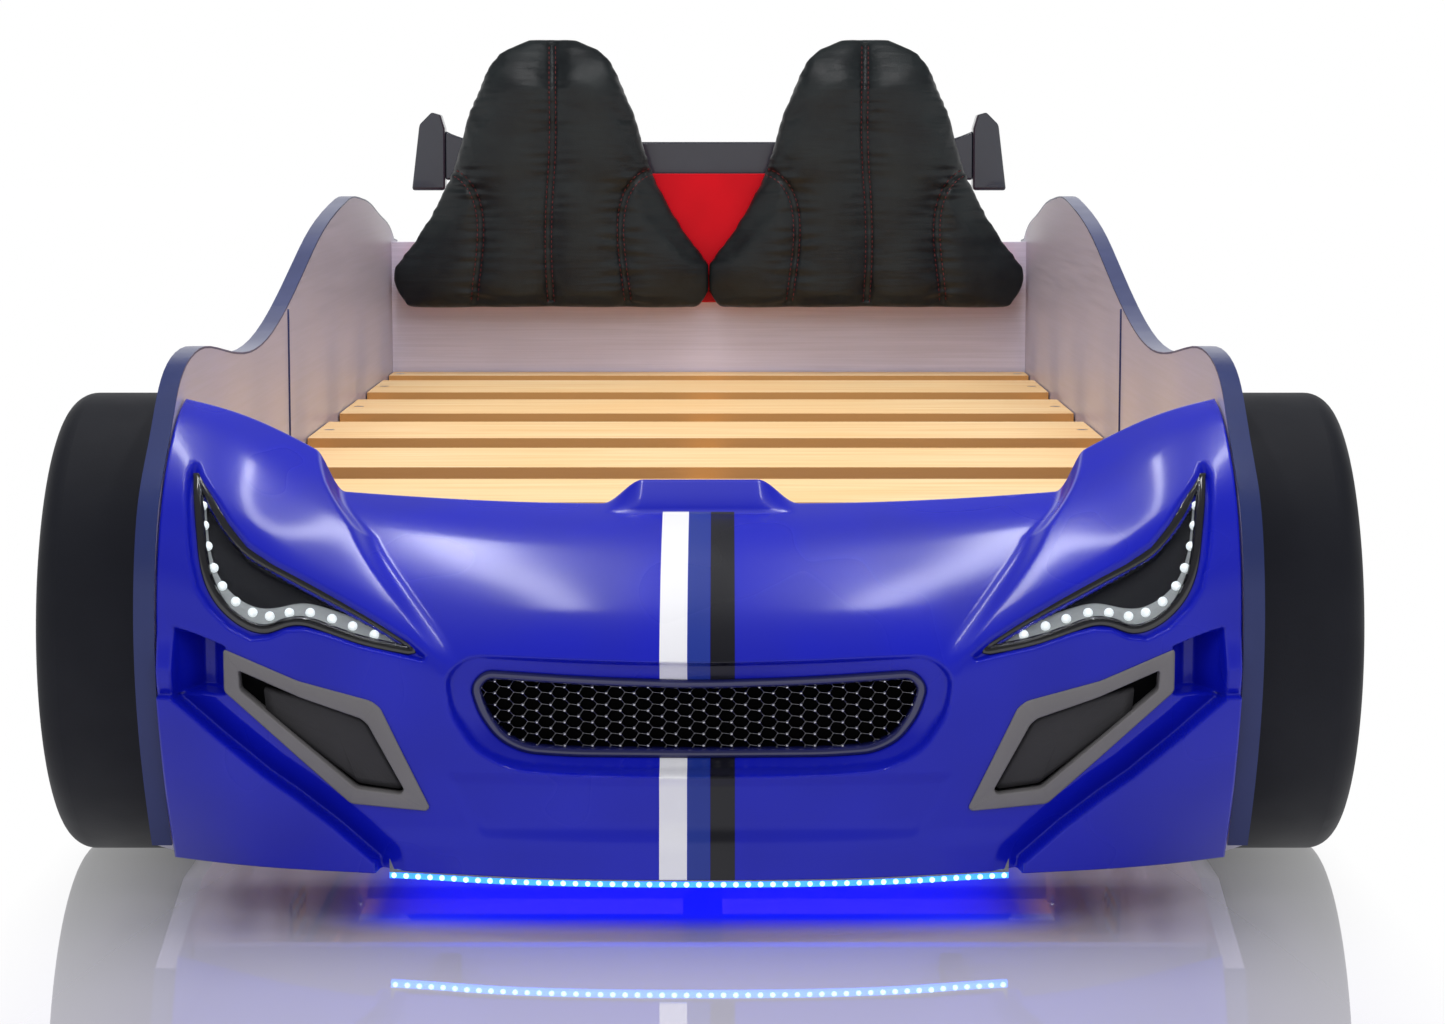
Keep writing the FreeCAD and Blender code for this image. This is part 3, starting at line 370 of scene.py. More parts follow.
POINT_GAP = 2.0


def natural_spline(keys, values, places):
    """The smoothest curve through the keyed values, read at many places (values may be rows)."""
    keys = np.asarray(keys, float)
    values = np.asarray(values, float)
    n = len(keys)
    h = np.diff(keys)
    matrix = np.eye(n)
    right = np.zeros(values.shape)
    for i in range(1, n - 1):
        matrix[i, i - 1] = h[i - 1]
        matrix[i, i] = 2 * (h[i - 1] + h[i])
        matrix[i, i + 1] = h[i]
        right[i] = 6 * ((values[i + 1] - values[i]) / h[i] - (values[i] - values[i - 1]) / h[i - 1])
    curve = np.linalg.solve(matrix, right.reshape(n, -1)).reshape(right.shape)
    places = np.clip(places, keys[0], keys[-1])
    k = np.clip(np.searchsorted(keys, places) - 1, 0, n - 2)
    a = (keys[k + 1] - places) / h[k]
    b = 1 - a
    shape = (-1,) + (1,) * (values.ndim - 1)
    a, b, step = a.reshape(shape), b.reshape(shape), h[k].reshape(shape)
    bend = ((a ** 3 - a) * curve[k] + (b ** 3 - b) * curve[k + 1]) * step ** 2 / 6
    return a * values[k] + b * values[k + 1] + bend


def blur(grid, sigma, axis):
    """Gaussian smoothing along one axis that keeps the slope at both ends."""
    reach = int(3 * sigma)
    if reach < 1:
        return grid
    grid = np.moveaxis(grid, axis, 0)
    steps = np.arange(reach, 0, -1).reshape((-1,) + (1,) * (grid.ndim - 1))
    before = 2 * grid[:1] - grid[1:reach + 1][::-1]
    after = 2 * grid[-1:] - grid[-reach - 1:-1][::-1]
    padded = np.concatenate([before, grid, after])
    kernel = np.exp(-0.5 * (np.arange(-reach, reach + 1) / sigma) ** 2)
    kernel /= kernel.sum()
    out = sum(w * padded[k:k + len(grid)] for k, w in enumerate(kernel))
    return np.moveaxis(out, 0, axis)


def smooth_step(x, low, high):
    t = np.clip((x - low) / (high - low), 0, 1)
    return t * t * (3 - 2 * t)


def skin_family(columns, across, down):
    """Ahead-of-footboard and height of one family of columns on the full grid."""
    keys = [-c[0] for c in columns[:0:-1]] + [c[0] for c in columns]
    runs = [c[1] for c in columns[:0:-1]] + [c[1] for c in columns]
    table = natural_spline(keys, np.array(runs, float), across)
    return natural_spline(np.arange(len(columns[0][1])), np.moveaxis(table, 1, 0), down)


# %% The base skin: X across, rows from the hood's rear edge down to the lip
across = np.linspace(-SKIN_HALF, SKIN_HALF, int(2 * SKIN_HALF / POINT_GAP) + 1)
FENDER_START = 180
BLUR_DOWN = 12
BLUR_ACROSS = 9
TOP_END = 2.2
TOP_ROWS = 34
LIP_END = 11
FRONT_ROWS = 290
upper_rows = np.linspace(0, TOP_END, TOP_ROWS)[:-1]
lower_rows = np.linspace(TOP_END, LIP_END, FRONT_ROWS)
down = np.concatenate([upper_rows, lower_rows])


def base_skin():
    """The hood's and the fenders' surfaces, each smoothed and then joined along the ridge."""
    hood = skin_family(hood_columns, across, down)
    fender_places = np.sign(across) * np.maximum(np.abs(across), FENDER_START)
    fender = skin_family(fender_columns, fender_places, down)
    for sigma, axis in ((BLUR_DOWN, 1), (BLUR_ACROSS, 0)):
        hood = blur(hood, sigma, axis)
        fender = blur(fender, sigma, axis)
    last = len(ridge_x) - 1
    crease = natural_spline(np.arange(len(ridge_x)), np.array(ridge_x, float), np.minimum(down, last))
    side = np.abs(across)[None, :] - crease[:, None]
    blend = smooth_step(side, -RIDGE_SOFTNESS, RIDGE_SOFTNESS)[:, :, None]
    return (hood + (fender - hood) * blend).transpose(1, 0, 2)


skin = base_skin()
X = np.repeat(across[:, None], len(down), axis=1)
AHEAD = skin[:, :, 0]
Z = skin[:, :, 1]
print("bumper grid", X.shape)

# %% [markdown]
# ## Recesses pressed into the skin
# Each feature of the bumper has an outline seen from the front, in millimetres from the middle
# line and from the floor. The distance of every grid point from that outline says how far the
# sheet has gone into the recess there, which gives each edge the soft radius of formed plastic. A
# boolean cut would be quicker to write, but it leaves a sharp rim.

# %% Outlines seen from the front
lamp_rim = [(441, 399), (436, 390), (420, 371), (406, 352), (390, 334), (368, 320), (334, 303), (309, 290),
            (274, 271), (249, 256), (233, 242), (236, 236), (290, 247), (323, 258), (340, 262), (355, 261),
            (370, 254), (387, 252), (407, 262), (424, 279), (435, 296), (442, 322), (446, 350), (449, 373),
            (450, 390), (446, 399)]
lens_upper = [(441, 389), (428, 370), (411, 346), (393, 327), (359, 308), (325, 291), (291, 274), (247, 249)]
lens_lower = [(440, 386), (437, 366), (433, 342), (429, 318), (423, 299), (413, 283), (400, 271), (387, 264),
              (373, 262), (358, 267), (344, 269), (324, 264), (290, 253), (247, 245)]
bezel_outline = [(410, 245), (345, 219), (281, 203), (273, 197), (231, 112), (234, 109), (300, 113),
                 (410, 208)]
intake_outline = [(397, 227), (343, 205), (290, 188), (284, 183), (253, 127), (256, 123), (295, 127),
                  (396, 210)]
insert_outline = [(376, 211), (343, 203), (291, 186), (286, 182), (256, 128), (258, 126), (293, 130),
                  (374, 190)]
slot_outline = [(454, 264), (432, 256), (409, 247), (409, 205), (430, 205), (454, 202)]
blade_outline = [(480, 204), (454, 203), (416, 170), (373, 136), (347, 119), (313, 94), (278, 64), (271, 20),
                 (480, 20)]
grille_half = [(95, 220), (184, 226), (195, 213), (188, 190), (172, 168), (150, 157), (110, 154)]
recess_half = [(100, 239), (198, 243), (219, 226), (215, 194), (192, 160), (160, 145), (110, 141)]


def both_halves(half, top, bottom):
    """A closed outline from the points of its right half and its two places on the middle line."""
    mirrored = [(-x, z) for x, z in reversed(half)]
    return mirrored[-2:] + [(0, top)] + half + [(0, bottom)] + mirrored[:-2]


def inside_distance(outline, x, z):
    """Distance from a closed outline, above zero inside it."""
    ring = np.array(outline, float)
    best = np.full(x.shape, 1e9)
    inside = np.zeros(x.shape, bool)
    for (xa, za), (xb, zb) in zip(ring, np.roll(ring, -1, axis=0)):
        dx, dz = xb - xa, zb - za
        t = np.clip(((x - xa) * dx + (z - za) * dz) / (dx * dx + dz * dz), 0, 1)
        best = np.minimum(best, (x - xa - t * dx) ** 2 + (z - za - t * dz) ** 2)
        if dz != 0:
            crosses = (za > z) != (zb > z)
            inside ^= crosses & (x < xa + (z - za) / dz * dx)
    return np.where(inside, np.sqrt(best), -np.sqrt(best))


# %% Curves through a few points


def run_lengths(line):
    """How far along the line each of its points lies."""
    return np.concatenate([[0], np.cumsum(np.linalg.norm(np.diff(line, axis=0), axis=1))])


def smooth_run(points, count):
    """A run of evenly spaced points on a smooth curve through the given ones."""
    line = np.array(points, float)
    reach = run_lengths(line)
    return natural_spline(reach, line, np.linspace(0, reach[-1], count))


def corner_run(points, per_edge, radius):
    """A closed outline with each corner rounded, as per_edge points along every side."""
    ring = np.array(points, float)
    out = []
    n = len(ring)
    for k in range(n):
        before, here, after = ring[k - 1], ring[k], ring[(k + 1) % n]
        way_in = (here - before) / np.linalg.norm(here - before)
        way_out = (after - here) / np.linalg.norm(after - here)
        trim = min(radius, 0.45 * np.linalg.norm(here - before), 0.45 * np.linalg.norm(after - here))
        start, end = here - way_in * trim, here + way_out * trim
        for t in np.linspace(0, 1, 7):
            out.append((1 - t) ** 2 * start + 2 * t * (1 - t) * here + t * t * end)
        next_trim = min(radius, 0.45 * np.linalg.norm(after - here))
        for t in np.linspace(0, 1, per_edge + 2)[1:-1]:
            out.append(end + (after - way_out * next_trim - end) * t)
    return np.array(out)


def ring_offset(ring, distance):
    """The closed run of points moved outwards by distance."""
    ahead = np.roll(ring, -1, axis=0) - np.roll(ring, 1, axis=0)
    ahead /= np.linalg.norm(ahead, axis=1, keepdims=True)
    area = np.sum(ring[:, 0] * np.roll(ring[:, 1], -1) - np.roll(ring[:, 0], -1) * ring[:, 1])
    side = 1.0 if area > 0 else -1.0
    return ring + np.stack([ahead[:, 1], -ahead[:, 0]], axis=1) * distance * side


def ring_faces(rings, count):
    """Quads between closed rings of as many points each."""
    faces = []
    for r in range(rings - 1):
        for k in range(count):
            m = (k + 1) % count
            faces.append((r * count + k, r * count + m, (r + 1) * count + m, (r + 1) * count + k))
    return faces


GRILLE_TOP = 217
GRILLE_LOW = 153
GRILLE_CORNER = 32
RECESS_TOP = 237
RECESS_LOW = 140
RECESS_CORNER = 42
grille_opening = corner_run(both_halves(grille_half, GRILLE_TOP, GRILLE_LOW), 3, GRILLE_CORNER)
grille_recess = corner_run(both_halves(recess_half, RECESS_TOP, RECESS_LOW), 3, RECESS_CORNER)
print("grille opening is", round(np.ptp(grille_opening[:, 0])), "mm wide")

# %% Depths and widths of the bumper's features, in millimetres
LAMP_DEPTH = 7.0
RECESS_RIM = 5.0
OPENING_TUCK = 4.0
SLOT_DEPTH = 38.0
SLOT_SIDES = (398, 456)
SLOT_SLANT = 24.0
BLADE_STEP = 17.0
BLADE_EDGE_STRIP = (451, 456)
BLADE_STRIP_LOW = 195
BLADE_STRIP_TOP = 262
BLADE_STRIP_FADE = 58
GROOVE_DEPTH = 9.0
GROOVE_REACH = 24.0
GROOVE_FADE = 21
GROOVE_SIDES = (240, 262)
LIP_FLARE = 2.0
LIP_TOP = 96.0
LIP_FADE = 20
LIP_SIDES = (6, 26)
FASCIA_STEP = 3.0
FASCIA_HALF = 190.0
FASCIA_SPREAD = 0.55
FASCIA_LEVEL = 95
FASCIA_TOP = 140
FASCIA_FOOT = (84, 104)
TAB_RISE = 22.0
TAB_HALF = 90.0
TAB_LENGTH = 27.0
TAB_FADE = 38
GRILLE_FACE = (foot_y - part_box("grille_frame")[0][1]) / MM


def sheet_normals(x, y, z):
    """Unit normals of a sheet, pointing out of the bumper."""
    points = np.stack([x, y, z], axis=2)
    du = np.gradient(points, axis=0)
    dv = np.gradient(points, axis=1)
    normal = np.cross(dv, du)
    normal /= np.linalg.norm(normal, axis=2, keepdims=True)
    lip_middle = normal[len(x) // 2, -20]
    if lip_middle[1] > 0:
        normal = -normal
    return normal


def press_features():
    """Moves the base skin into and out of its features; returns the points and the kept faces."""
    side = np.abs(X)
    normal = sheet_normals(X, -AHEAD, Z)
    lamp = inside_distance(lamp_rim, side, Z)
    lens = inside_distance(lens_upper + lens_lower[::-1], side, Z)
    recess = inside_distance(grille_recess, X, Z)
    opening = inside_distance(grille_opening, X, Z)
    slot = inside_distance(slot_outline, side, Z)
    blade = inside_distance(blade_outline, side, Z)
    intake = inside_distance(intake_outline, side, Z)

    sink = LAMP_DEPTH * smooth_step(lamp, -0.5, 5.0)
    x = X - normal[:, :, 0] * sink
    y = -AHEAD - normal[:, :, 1] * sink
    z = Z - normal[:, :, 2] * sink

    share = np.clip(recess / np.maximum(recess - opening, 1e-3), 0, 1)
    share = np.where(opening > 0, 1.0, np.where(recess > 0, share, 0.0))
    y = y + (-GRILLE_FACE - y) * (0.5 * smooth_step(recess, 0, RECESS_RIM) + 0.5 * share)
    y = y + OPENING_TUCK * smooth_step(opening, -2, 1)

    slot_room = np.minimum(SLOT_SIDES[1] - side, side - SLOT_SIDES[0])
    slant = np.clip(slot_room / SLOT_SLANT, 0.06, 1)
    y = y + SLOT_DEPTH * smooth_step(slot, -0.8, 2.6) * slant

    strip_top = smooth_step(BLADE_STRIP_TOP - Z, 0, BLADE_STRIP_FADE)
    strip = smooth_step(side, *BLADE_EDGE_STRIP) * strip_top * (Z > BLADE_STRIP_LOW)
    forward = BLADE_STEP * np.maximum(smooth_step(blade, -1.2, 2.4), strip)
    open_side = smooth_step(side, *GROOVE_SIDES)
    beside = np.clip((blade + GROOVE_REACH) / GROOVE_FADE, 0, 1) * smooth_step(-blade, -1.2, 1.2)
    groove = GROOVE_DEPTH * beside * open_side
    y = y - forward + groove * (slot < 1)

    low_centre = smooth_step(-blade, *LIP_SIDES) * smooth_step(LIP_TOP - Z, 0, LIP_FADE)
    y = y - LIP_FLARE * low_centre
    panel_edge = FASCIA_HALF + (Z - FASCIA_LEVEL) * FASCIA_SPREAD - side
    fascia = smooth_step(panel_edge, -6, 6) * smooth_step(FASCIA_TOP - Z, -4, 8)
    fascia = fascia * smooth_step(Z, *FASCIA_FOOT)
    y = y + FASCIA_STEP * fascia

    rise = smooth_step(TAB_HALF - side, 0, TAB_FADE)
    tab = TAB_RISE * rise * np.clip((TAB_LENGTH + y) / TAB_LENGTH, 0, 1) ** 0.8
    z = z + tab
    keep = (lens < 1.0) & (opening < 1.5) & (intake < -2.0)
    return x, y, z, keep


bx, by, bz, keep_faces = press_features()
print("tab and recesses pressed; faces kept:", int(keep_faces.sum()))

# %% Place the points in the frame


def to_frame(x, ahead_y, z):
    """Millimetres from the middle line, from the footboard and from the floor, to metres."""
    scale = bumper_half / (SKIN_HALF * MM)
    return np.stack([x * MM * scale, foot_y + ahead_y * MM, z * MM], axis=-1)


BACK_ROLL = 6
ROLL_RADIUS = 0.002


def rolled_rear_edge(points):
    """Adds a few rows that fold the hood's rear edge down, as formed plastic ends."""
    first = points[:, :1, :]
    fold = []
    for k in range(BACK_ROLL, 0, -1):
        angle = math.pi / 2 * k / BACK_ROLL
        fold.append(first + np.array([0, math.sin(angle), math.cos(angle) - 1]) * ROLL_RADIUS)
    return np.concatenate(fold + [points], axis=1)


shell_points = rolled_rear_edge(to_frame(bx, by, bz))
shell_keep = np.concatenate([np.ones((len(bx), BACK_ROLL), bool), keep_faces], axis=1)
faces = sheet_faces(shell_points.shape[0], shell_points.shape[1], shell_keep)

# %% [markdown]
# The bumper's paint is a deep royal blue under a clear gloss, and three stripes run down its
# middle: white, navy and black. The stripes are tape on the real bed, far too thin for a mesh of
# their own, so they are bands in the material at their real width. They stop in front of the raised
# tab.

# %% Bumper gloss with its stripes
SHELL_BLUE = (0.004, 0.009, 0.46)
STRIPE_EDGES = {"white": (-0.034, -0.010), "navy": (-0.010, 0.0095), "black": (0.0095, 0.031)}
STRIPE_COLORS = {"white": (0.80, 0.80, 0.84), "navy": (0.010, 0.03, 0.26), "black": (0.006, 0.006, 0.010)}
STRIPE_START = foot_y - 0.026


def make_bumper_gloss():
    """Royal blue under a clear gloss, with the three stripes as bands across X."""
    material, tree, shader = new_material("bumper gloss", SHELL_BLUE, 0.30, Coat_Weight=0.35,
                                          Coat_Roughness=0.12, Specular_IOR_Level=0.2)
    place = add_node(tree, "ShaderNodeTexCoord")
    parts = xyz_of(tree, place.outputs["Object"])
    ahead = place_group(tree, band_group, {"Low": -9.0, "High": STRIPE_START, "Border": 0.0006})
    tree.links.new(parts["Y"], ahead.inputs["Value"])
    drift = place_group(tree, grain_group, {"Size": 0.12, "Detail": 1.0})
    deeper = tuple(c * 0.86 for c in SHELL_BLUE)
    color = mix_colors(tree, drift.outputs["Mask"], SHELL_BLUE, deeper)
    for name, (low, high) in STRIPE_EDGES.items():
        band = place_group(tree, band_group, {"Low": low, "High": high, "Border": 0.0003})
        tree.links.new(parts["X"], band.inputs["Value"])
        stripe = combined(tree, "MULTIPLY", band.outputs["Mask"], ahead.outputs["Mask"])
        color = mix_colors(tree, stripe, color, STRIPE_COLORS[name])
    tree.links.new(color, shader.inputs["Base Color"])
    peel = place_group(tree, grain_group, {"Size": 0.004, "Detail": 1.0})
    tree.links.new(bump(tree, peel.outputs["Height"], 0.15, 0.0001), shader.inputs["Normal"])
    tree.links.new(vary(tree, drift.outputs["Mask"], 0.26, 0.34), shader.inputs["Roughness"])
    return material


SHELL_WALL = 0.003
bumper = new_object("bumper_shell_formed", shell_points.reshape(-1, 3), faces, make_bumper_gloss())
drop_loose_points(bumper)
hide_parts("bumper_shell")
thicken(bumper, SHELL_WALL)
print("bumper points:", len(bumper.data.vertices))

# %% Reading the skin's depth at a place


def ahead_at(x, z):
    """How far the base skin stands ahead of the footboard at (x, z), in millimetres."""
    x = np.asarray(x, float)
    z = np.asarray(z, float)
    out = np.zeros(x.shape)
    for index in np.ndindex(x.shape):
        i = int(round((x[index] + SKIN_HALF) / POINT_GAP))
        i = min(max(i, 0), len(across) - 1)
        out[index] = np.interp(-z[index], -Z[i], AHEAD[i])
    return out


def on_skin(x, z, depth):
    """Frame point at (x, z), sunk straight back by depth below the base skin."""
    return to_frame(np.asarray(x, float), -ahead_at(x, z) + depth, np.asarray(z, float))


# %% Pieces that come in pairs


def mirrored_points(points):
    out = np.array(points, float)
    out[..., 0] *= -1
    return out


def pair(name, points, faces, material, replaces=None, mods=None):
    """A piece on the right and its mirror image on the left."""
    made = []
    for side, mirror in (("right", False), ("left", True)):
        verts = mirrored_points(points) if mirror else points
        quads = [tuple(reversed(f)) for f in faces] if mirror else faces
        obj = new_object(name + "_" + side, np.asarray(verts).reshape(-1, 3), quads, material)
        if replaces:
            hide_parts(replaces + "_" + side)
        if mods:
            mods(obj)
        made.append(obj)
    return made


# %% [markdown]
# ## Headlights
# Each lamp sits in a recess of the bumper: a thin black rim, a clear domed lens, and behind it a
# black bowl with a silver light guide along its lower edge that carries thirteen diodes. All of
# these are strips ruled between the lamp's upper and lower curves at different depths. A flat
# cut-out would be simpler, but it would stand off where the bumper bends, and a strip follows it.

# %% Finishes of the lamps
lamp_gloss = moulded_plastic("lamp black", (0.012, 0.012, 0.015), 0.16, 0.003, 0.00002, Coat_Weight=0.5)


def make_clear_plastic():
    material, tree, shader = new_material("clear lens", (0.95, 0.97, 1.0), 0.03, IOR=1.10,
                                          Transmission_Weight=1.0)
    ripple = place_group(tree, grain_group, {"Size": 0.03, "Detail": 0.0})
    tree.links.new(bump(tree, ripple.outputs["Height"], 0.1, 0.0004), shader.inputs["Normal"])
    return material


def make_light(name, color, strength, body_color, roughness=0.35):
    """A surface that glows evenly, a little stronger in its cells' middles."""
    material, tree, shader = new_material(name, body_color, roughness, Emission_Strength=strength)
    cells = place_group(tree, grain_group, {"Size": 0.004, "Detail": 1.0})
    softer = tuple(c * 0.82 for c in color)
    tree.links.new(mix_colors(tree, cells.outputs["Mask"], color, softer), shader.inputs["Emission Color"])
    return material


clear_plastic = make_clear_plastic()
guide_silver = make_light("light guide", (0.80, 0.84, 0.84), 0.08, (0.30, 0.31, 0.31), 0.35)
diode_white = make_light("diode", (0.92, 1.0, 0.98), 0.62, (0.8, 0.8, 0.8))

# %% Ruled strip between two curves of the lamp
ALONG = 121
LENS_ROWS = 17
BOWL_ROWS = 25
GUIDE_ROWS = 9


def lamp_strip(upper, lower, depth_of, rows):
    """Points of a strip from the upper to the lower curve; depth_of gives each row's depth."""
    top = smooth_run(upper, ALONG)
    low = smooth_run(lower, ALONG)
    out = np.zeros((ALONG, rows, 3))
    for j in range(rows):
        share = j / (rows - 1)
        line = top + (low - top) * share
        out[:, j] = on_skin(line[:, 0], line[:, 1], depth_of(share, np.linspace(0, 1, ALONG)))
    return out


def end_taper(t):
    """1 in the strip's middle, falling to 0 at both ends."""
    return np.clip(np.minimum(t / 0.06, (1 - t) / 0.10), 0, 1) ** 0.5


def moved_in(points, others, gap):
    """Each point moved towards the other curve by gap millimetres."""
    a = np.array(points, float)
    b = smooth_run(others, len(a))
    way = b - a
    length = np.maximum(np.linalg.norm(way, axis=1, keepdims=True), 1e-6)
    return a + way / length * np.minimum(gap, length * 0.5)


def edge_ring(upper, lower):
    """The closed run of points round both curves."""
    top = smooth_run(upper, ALONG)
    low = smooth_run(lower, ALONG)[::-1]
    return np.concatenate([top, low])


# %% Housing: rim and bowl, in millimetres behind the skin
BOWL_EDGE = 7.0
BOWL_DEPTH = 16.0
LAMP_RIM_PROFILE = [(4.5, 9.0), (4.2, 6.4), (3.0, 5.4), (0.5, 5.0), (-2.2, 5.4), (-3.4, 6.6), (-3.8, 9.5)]


def lamp_bowl():
    def depth_of(share, t):
        wall = np.clip(min(share, 1 - share) / 0.16, 0, 1)
        return BOWL_EDGE + BOWL_DEPTH * wall ** 0.6 * end_taper(t)
    return lamp_strip(lens_upper, lens_lower, depth_of, BOWL_ROWS)


def lamp_rim_strip():
    """The black bezel: a narrow rounded frame on the recess floor."""
    ring = edge_ring(lens_upper, lens_lower)
    rows = []
    for offset, depth in LAMP_RIM_PROFILE:
        line = ring_offset(ring, offset)
        rows.append(on_skin(line[:, 0], line[:, 1], np.full(len(line), depth)))
    return np.array(rows)


bowl = lamp_bowl()
bowl_black = moulded_plastic("bowl black", (0.010, 0.010, 0.014), 0.4, 0.003, 0.00002,
                             Specular_IOR_Level=0.15)
pair("headlight_housing_bowl", bowl, sheet_faces(*bowl.shape[:2]), bowl_black,
     replaces="headlight_housing", mods=lambda o: thicken(o, 0.0015, 1.0))
rim = lamp_rim_strip()
pair("headlight_rim", rim.reshape(-1, 3), ring_faces(rim.shape[0], rim.shape[1]), lamp_gloss)
print("lamp bowl", bowl.shape, "rim", rim.shape)

# %% Lens: a thin dome set just inside the rim, in millimetres
LENS_MARGIN = 2.0
LENS_SEAT = 6.4
LENS_RISE = 5.2


def lens_dome():
    top = moved_in(lens_upper, lens_lower, LENS_MARGIN)
    low = moved_in(lens_lower, lens_upper, LENS_MARGIN)

    def depth_of(share, t):
        return LENS_SEAT - LENS_RISE * math.sin(math.pi * share) ** 0.7 * end_taper(t)
    return lamp_strip(top, low, depth_of, LENS_ROWS)


dome = lens_dome()
pair("headlight_lens_dome", dome, sheet_faces(*dome.shape[:2]), clear_plastic,
     replaces="headlight_lens", mods=lambda o: thicken(o, 0.0018))
print("lens", dome.shape)

# %% Light guide and diodes
guide_inner = [(433, 374), (429, 347), (424, 322), (414, 300), (398, 285), (380, 278), (362, 279),
               (345, 282), (322, 278), (296, 269), (262, 254)]
guide_outer = [(438, 376), (434, 342), (430, 318), (424, 300), (414, 284), (400, 273), (386, 267),
               (372, 265), (358, 269), (344, 271), (324, 266), (290, 255), (258, 248)]
diode_places = [(434, 363), (431, 347), (427, 330), (421, 312), (413, 297), (401, 284), (386, 275),
                (371, 272), (354, 275), (336, 275), (317, 270), (299, 264), (280, 257)]
DIODE_DEPTH = 11.5


def guide_depth(share, t):
    return np.full(len(t), 16.0 - 6.0 * share + 1.6 * math.sin(math.pi * share))


guide = lamp_strip(guide_inner, guide_outer, guide_depth, GUIDE_ROWS)
guides = pair("headlight_light_guide", guide, sheet_faces(*guide.shape[:2]), guide_silver,
              mods=lambda o: thicken(o, 0.003))
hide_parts("headlight_led_guides")


def dome_points(center, radius, height, rings, spokes):
    """A small round dome that faces forward."""
    points = [Vector(center) + Vector((0, -height, 0))]
    for r in range(1, rings + 1):
        share = r / rings
        for k in range(spokes):
            a = 2 * math.pi * k / spokes
            rise = height * (1 - share ** 2)
            points.append(Vector(center) + Vector((radius * share * math.cos(a), -rise,
                                                   radius * share * math.sin(a))))
    faces = [(0, 1 + k, 1 + (k + 1) % spokes) for k in range(spokes)]
    for r in range(rings - 1):
        a = 1 + r * spokes
        for k in range(spokes):
            m = (k + 1) % spokes
            faces.append((a + k, a + spokes + k, a + spokes + m, a + m))
    return points, faces


def dome_row(centers, radius, height, rings=5, spokes=14):
    """Many small domes as one piece."""
    points, faces = [], []
    for center in centers:
        own_points, own_faces = dome_points(center, radius, height, rings, spokes)
        base = len(points)
        points += [tuple(p) for p in own_points]
        faces += [tuple(base + i for i in f) for f in own_faces]
    return np.array(points), faces


centers = [on_skin(x, z, DIODE_DEPTH) for x, z in diode_places]
diode_points, diode_faces = dome_row(centers, 0.0042, 0.004)
pair("headlight_diodes", diode_points, diode_faces, diode_white)
print("diodes in each headlight:", len(diode_places))

# %% [markdown]
# ## Side intakes
# A flat grey frame stands slightly proud of the bumper, and a grained black panel lies inside it.
# The panel stops short of the frame's outer corner, where a near-black plate behind it is painted
# shade for the dark hollow there. The frame is a closed run of cross sections, and the panel a few
# rings that shrink to its middle. An extruded frame would stay flat, and here every point takes its
# depth from the bumper's skin.

# %% Intake frame and panel
bezel_grey = moulded_plastic("bezel grey", (0.170, 0.163, 0.168), 0.42, 0.0007, 0.00004)
insert_black = moulded_plastic("insert black", (0.026, 0.025, 0.028), 0.62, 0.0016, 0.0006)
# Near-black matte finish that is painted shade: it stands for the dark hollows behind the intakes and the
# grille cells.
painted_shade_black = moulded_plastic("painted shade black", (0.0015, 0.0015, 0.002), 0.8, 0.002, 0.0001, Specular_IOR_Level=0.1)
PER_EDGE = 12
PANEL_RINGS = 8
CORNER_RADIUS = 3.0
PANEL_DEPTH = 7.0
PANEL_EDGE_DEPTH = 14.0
BACK_DEPTH = 15.0


def intake_frame():
    """Cross sections from the frame's outer wall over its face to its deep inner wall."""
    outer = corner_run(bezel_outline, PER_EDGE, 3.5)
    inner = corner_run(intake_outline, PER_EDGE, CORNER_RADIUS)
    outer_sections = [(outer, 0.0, 3.0), (outer, 0.0, -1.8), (outer, -0.6, -2.7), (outer, -1.6, -3.0)]
    inner_sections = [(inner, 1.6, -3.0), (inner, 0.6, -2.7), (inner, 0.0, -1.8), (inner, 0.0, 16.0)]
    rows = []
    for ring, offset, depth in outer_sections + inner_sections:
        line = ring_offset(ring, offset)
        rows.append(on_skin(line[:, 0], line[:, 1], np.full(len(line), depth)))
    return np.array(rows)


def filled_rings(outline, depth):
    """A panel of rings that shrink to the outline's middle."""
    ring = corner_run(outline, PER_EDGE, CORNER_RADIUS)
    middle = ring.mean(axis=0)
    rows = []
    for share in np.linspace(1, 0.04, PANEL_RINGS):
        line = middle + (ring - middle) * share
        rows.append(on_skin(line[:, 0], line[:, 1], np.full(len(line), depth)))
    return np.array(rows)


def filled_faces(rows):
    """Faces between the rings, and one that closes the last."""
    count = rows.shape[1]
    last = (rows.shape[0] - 1) * count
    return ring_faces(rows.shape[0], count) + [tuple(last + k for k in range(count))]


frame_rows = intake_frame()
pair("intake_bezel_formed", frame_rows, ring_faces(frame_rows.shape[0], frame_rows.shape[1]), bezel_grey,
     replaces="intake_bezel")


def panel_with_edge(outline):
    """The grained panel, with its rim turned back."""
    rows = filled_rings(outline, PANEL_DEPTH)
    ring = ring_offset(corner_run(outline, PER_EDGE, CORNER_RADIUS), 0.6)
    edge = on_skin(ring[:, 0], ring[:, 1], np.full(len(ring), PANEL_EDGE_DEPTH))
    return np.concatenate([edge[None], rows])


panel = panel_with_edge(insert_outline)
panels = pair("intake_panel", panel, filled_faces(panel), insert_black)
# Painted shade: a near-black plate behind the panel stands in for the dark hollow at the frame's outer
# corner.
back_plate = filled_rings(ring_offset(np.array(intake_outline, float), 1.0), BACK_DEPTH)
pair("intake_back", back_plate, filled_faces(back_plate), painted_shade_black)
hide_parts("intake_inserts")
print("intakes: frame", frame_rows.shape, "panel", panel.shape)

# %% [markdown]
# ## Grille
# Behind the gloss frame lies a plate of flattened hexagonal cells. Each cell is a shallow funnel
# with sloped walls, so the ridges between cells catch small glints. The cells are built as rings
# of six corners that share their ridge with the next cell. A bump in the material would look flat
# from the side. Every second corner stands forward and carries a small bright bead, as the joints
# of a chromed net do.

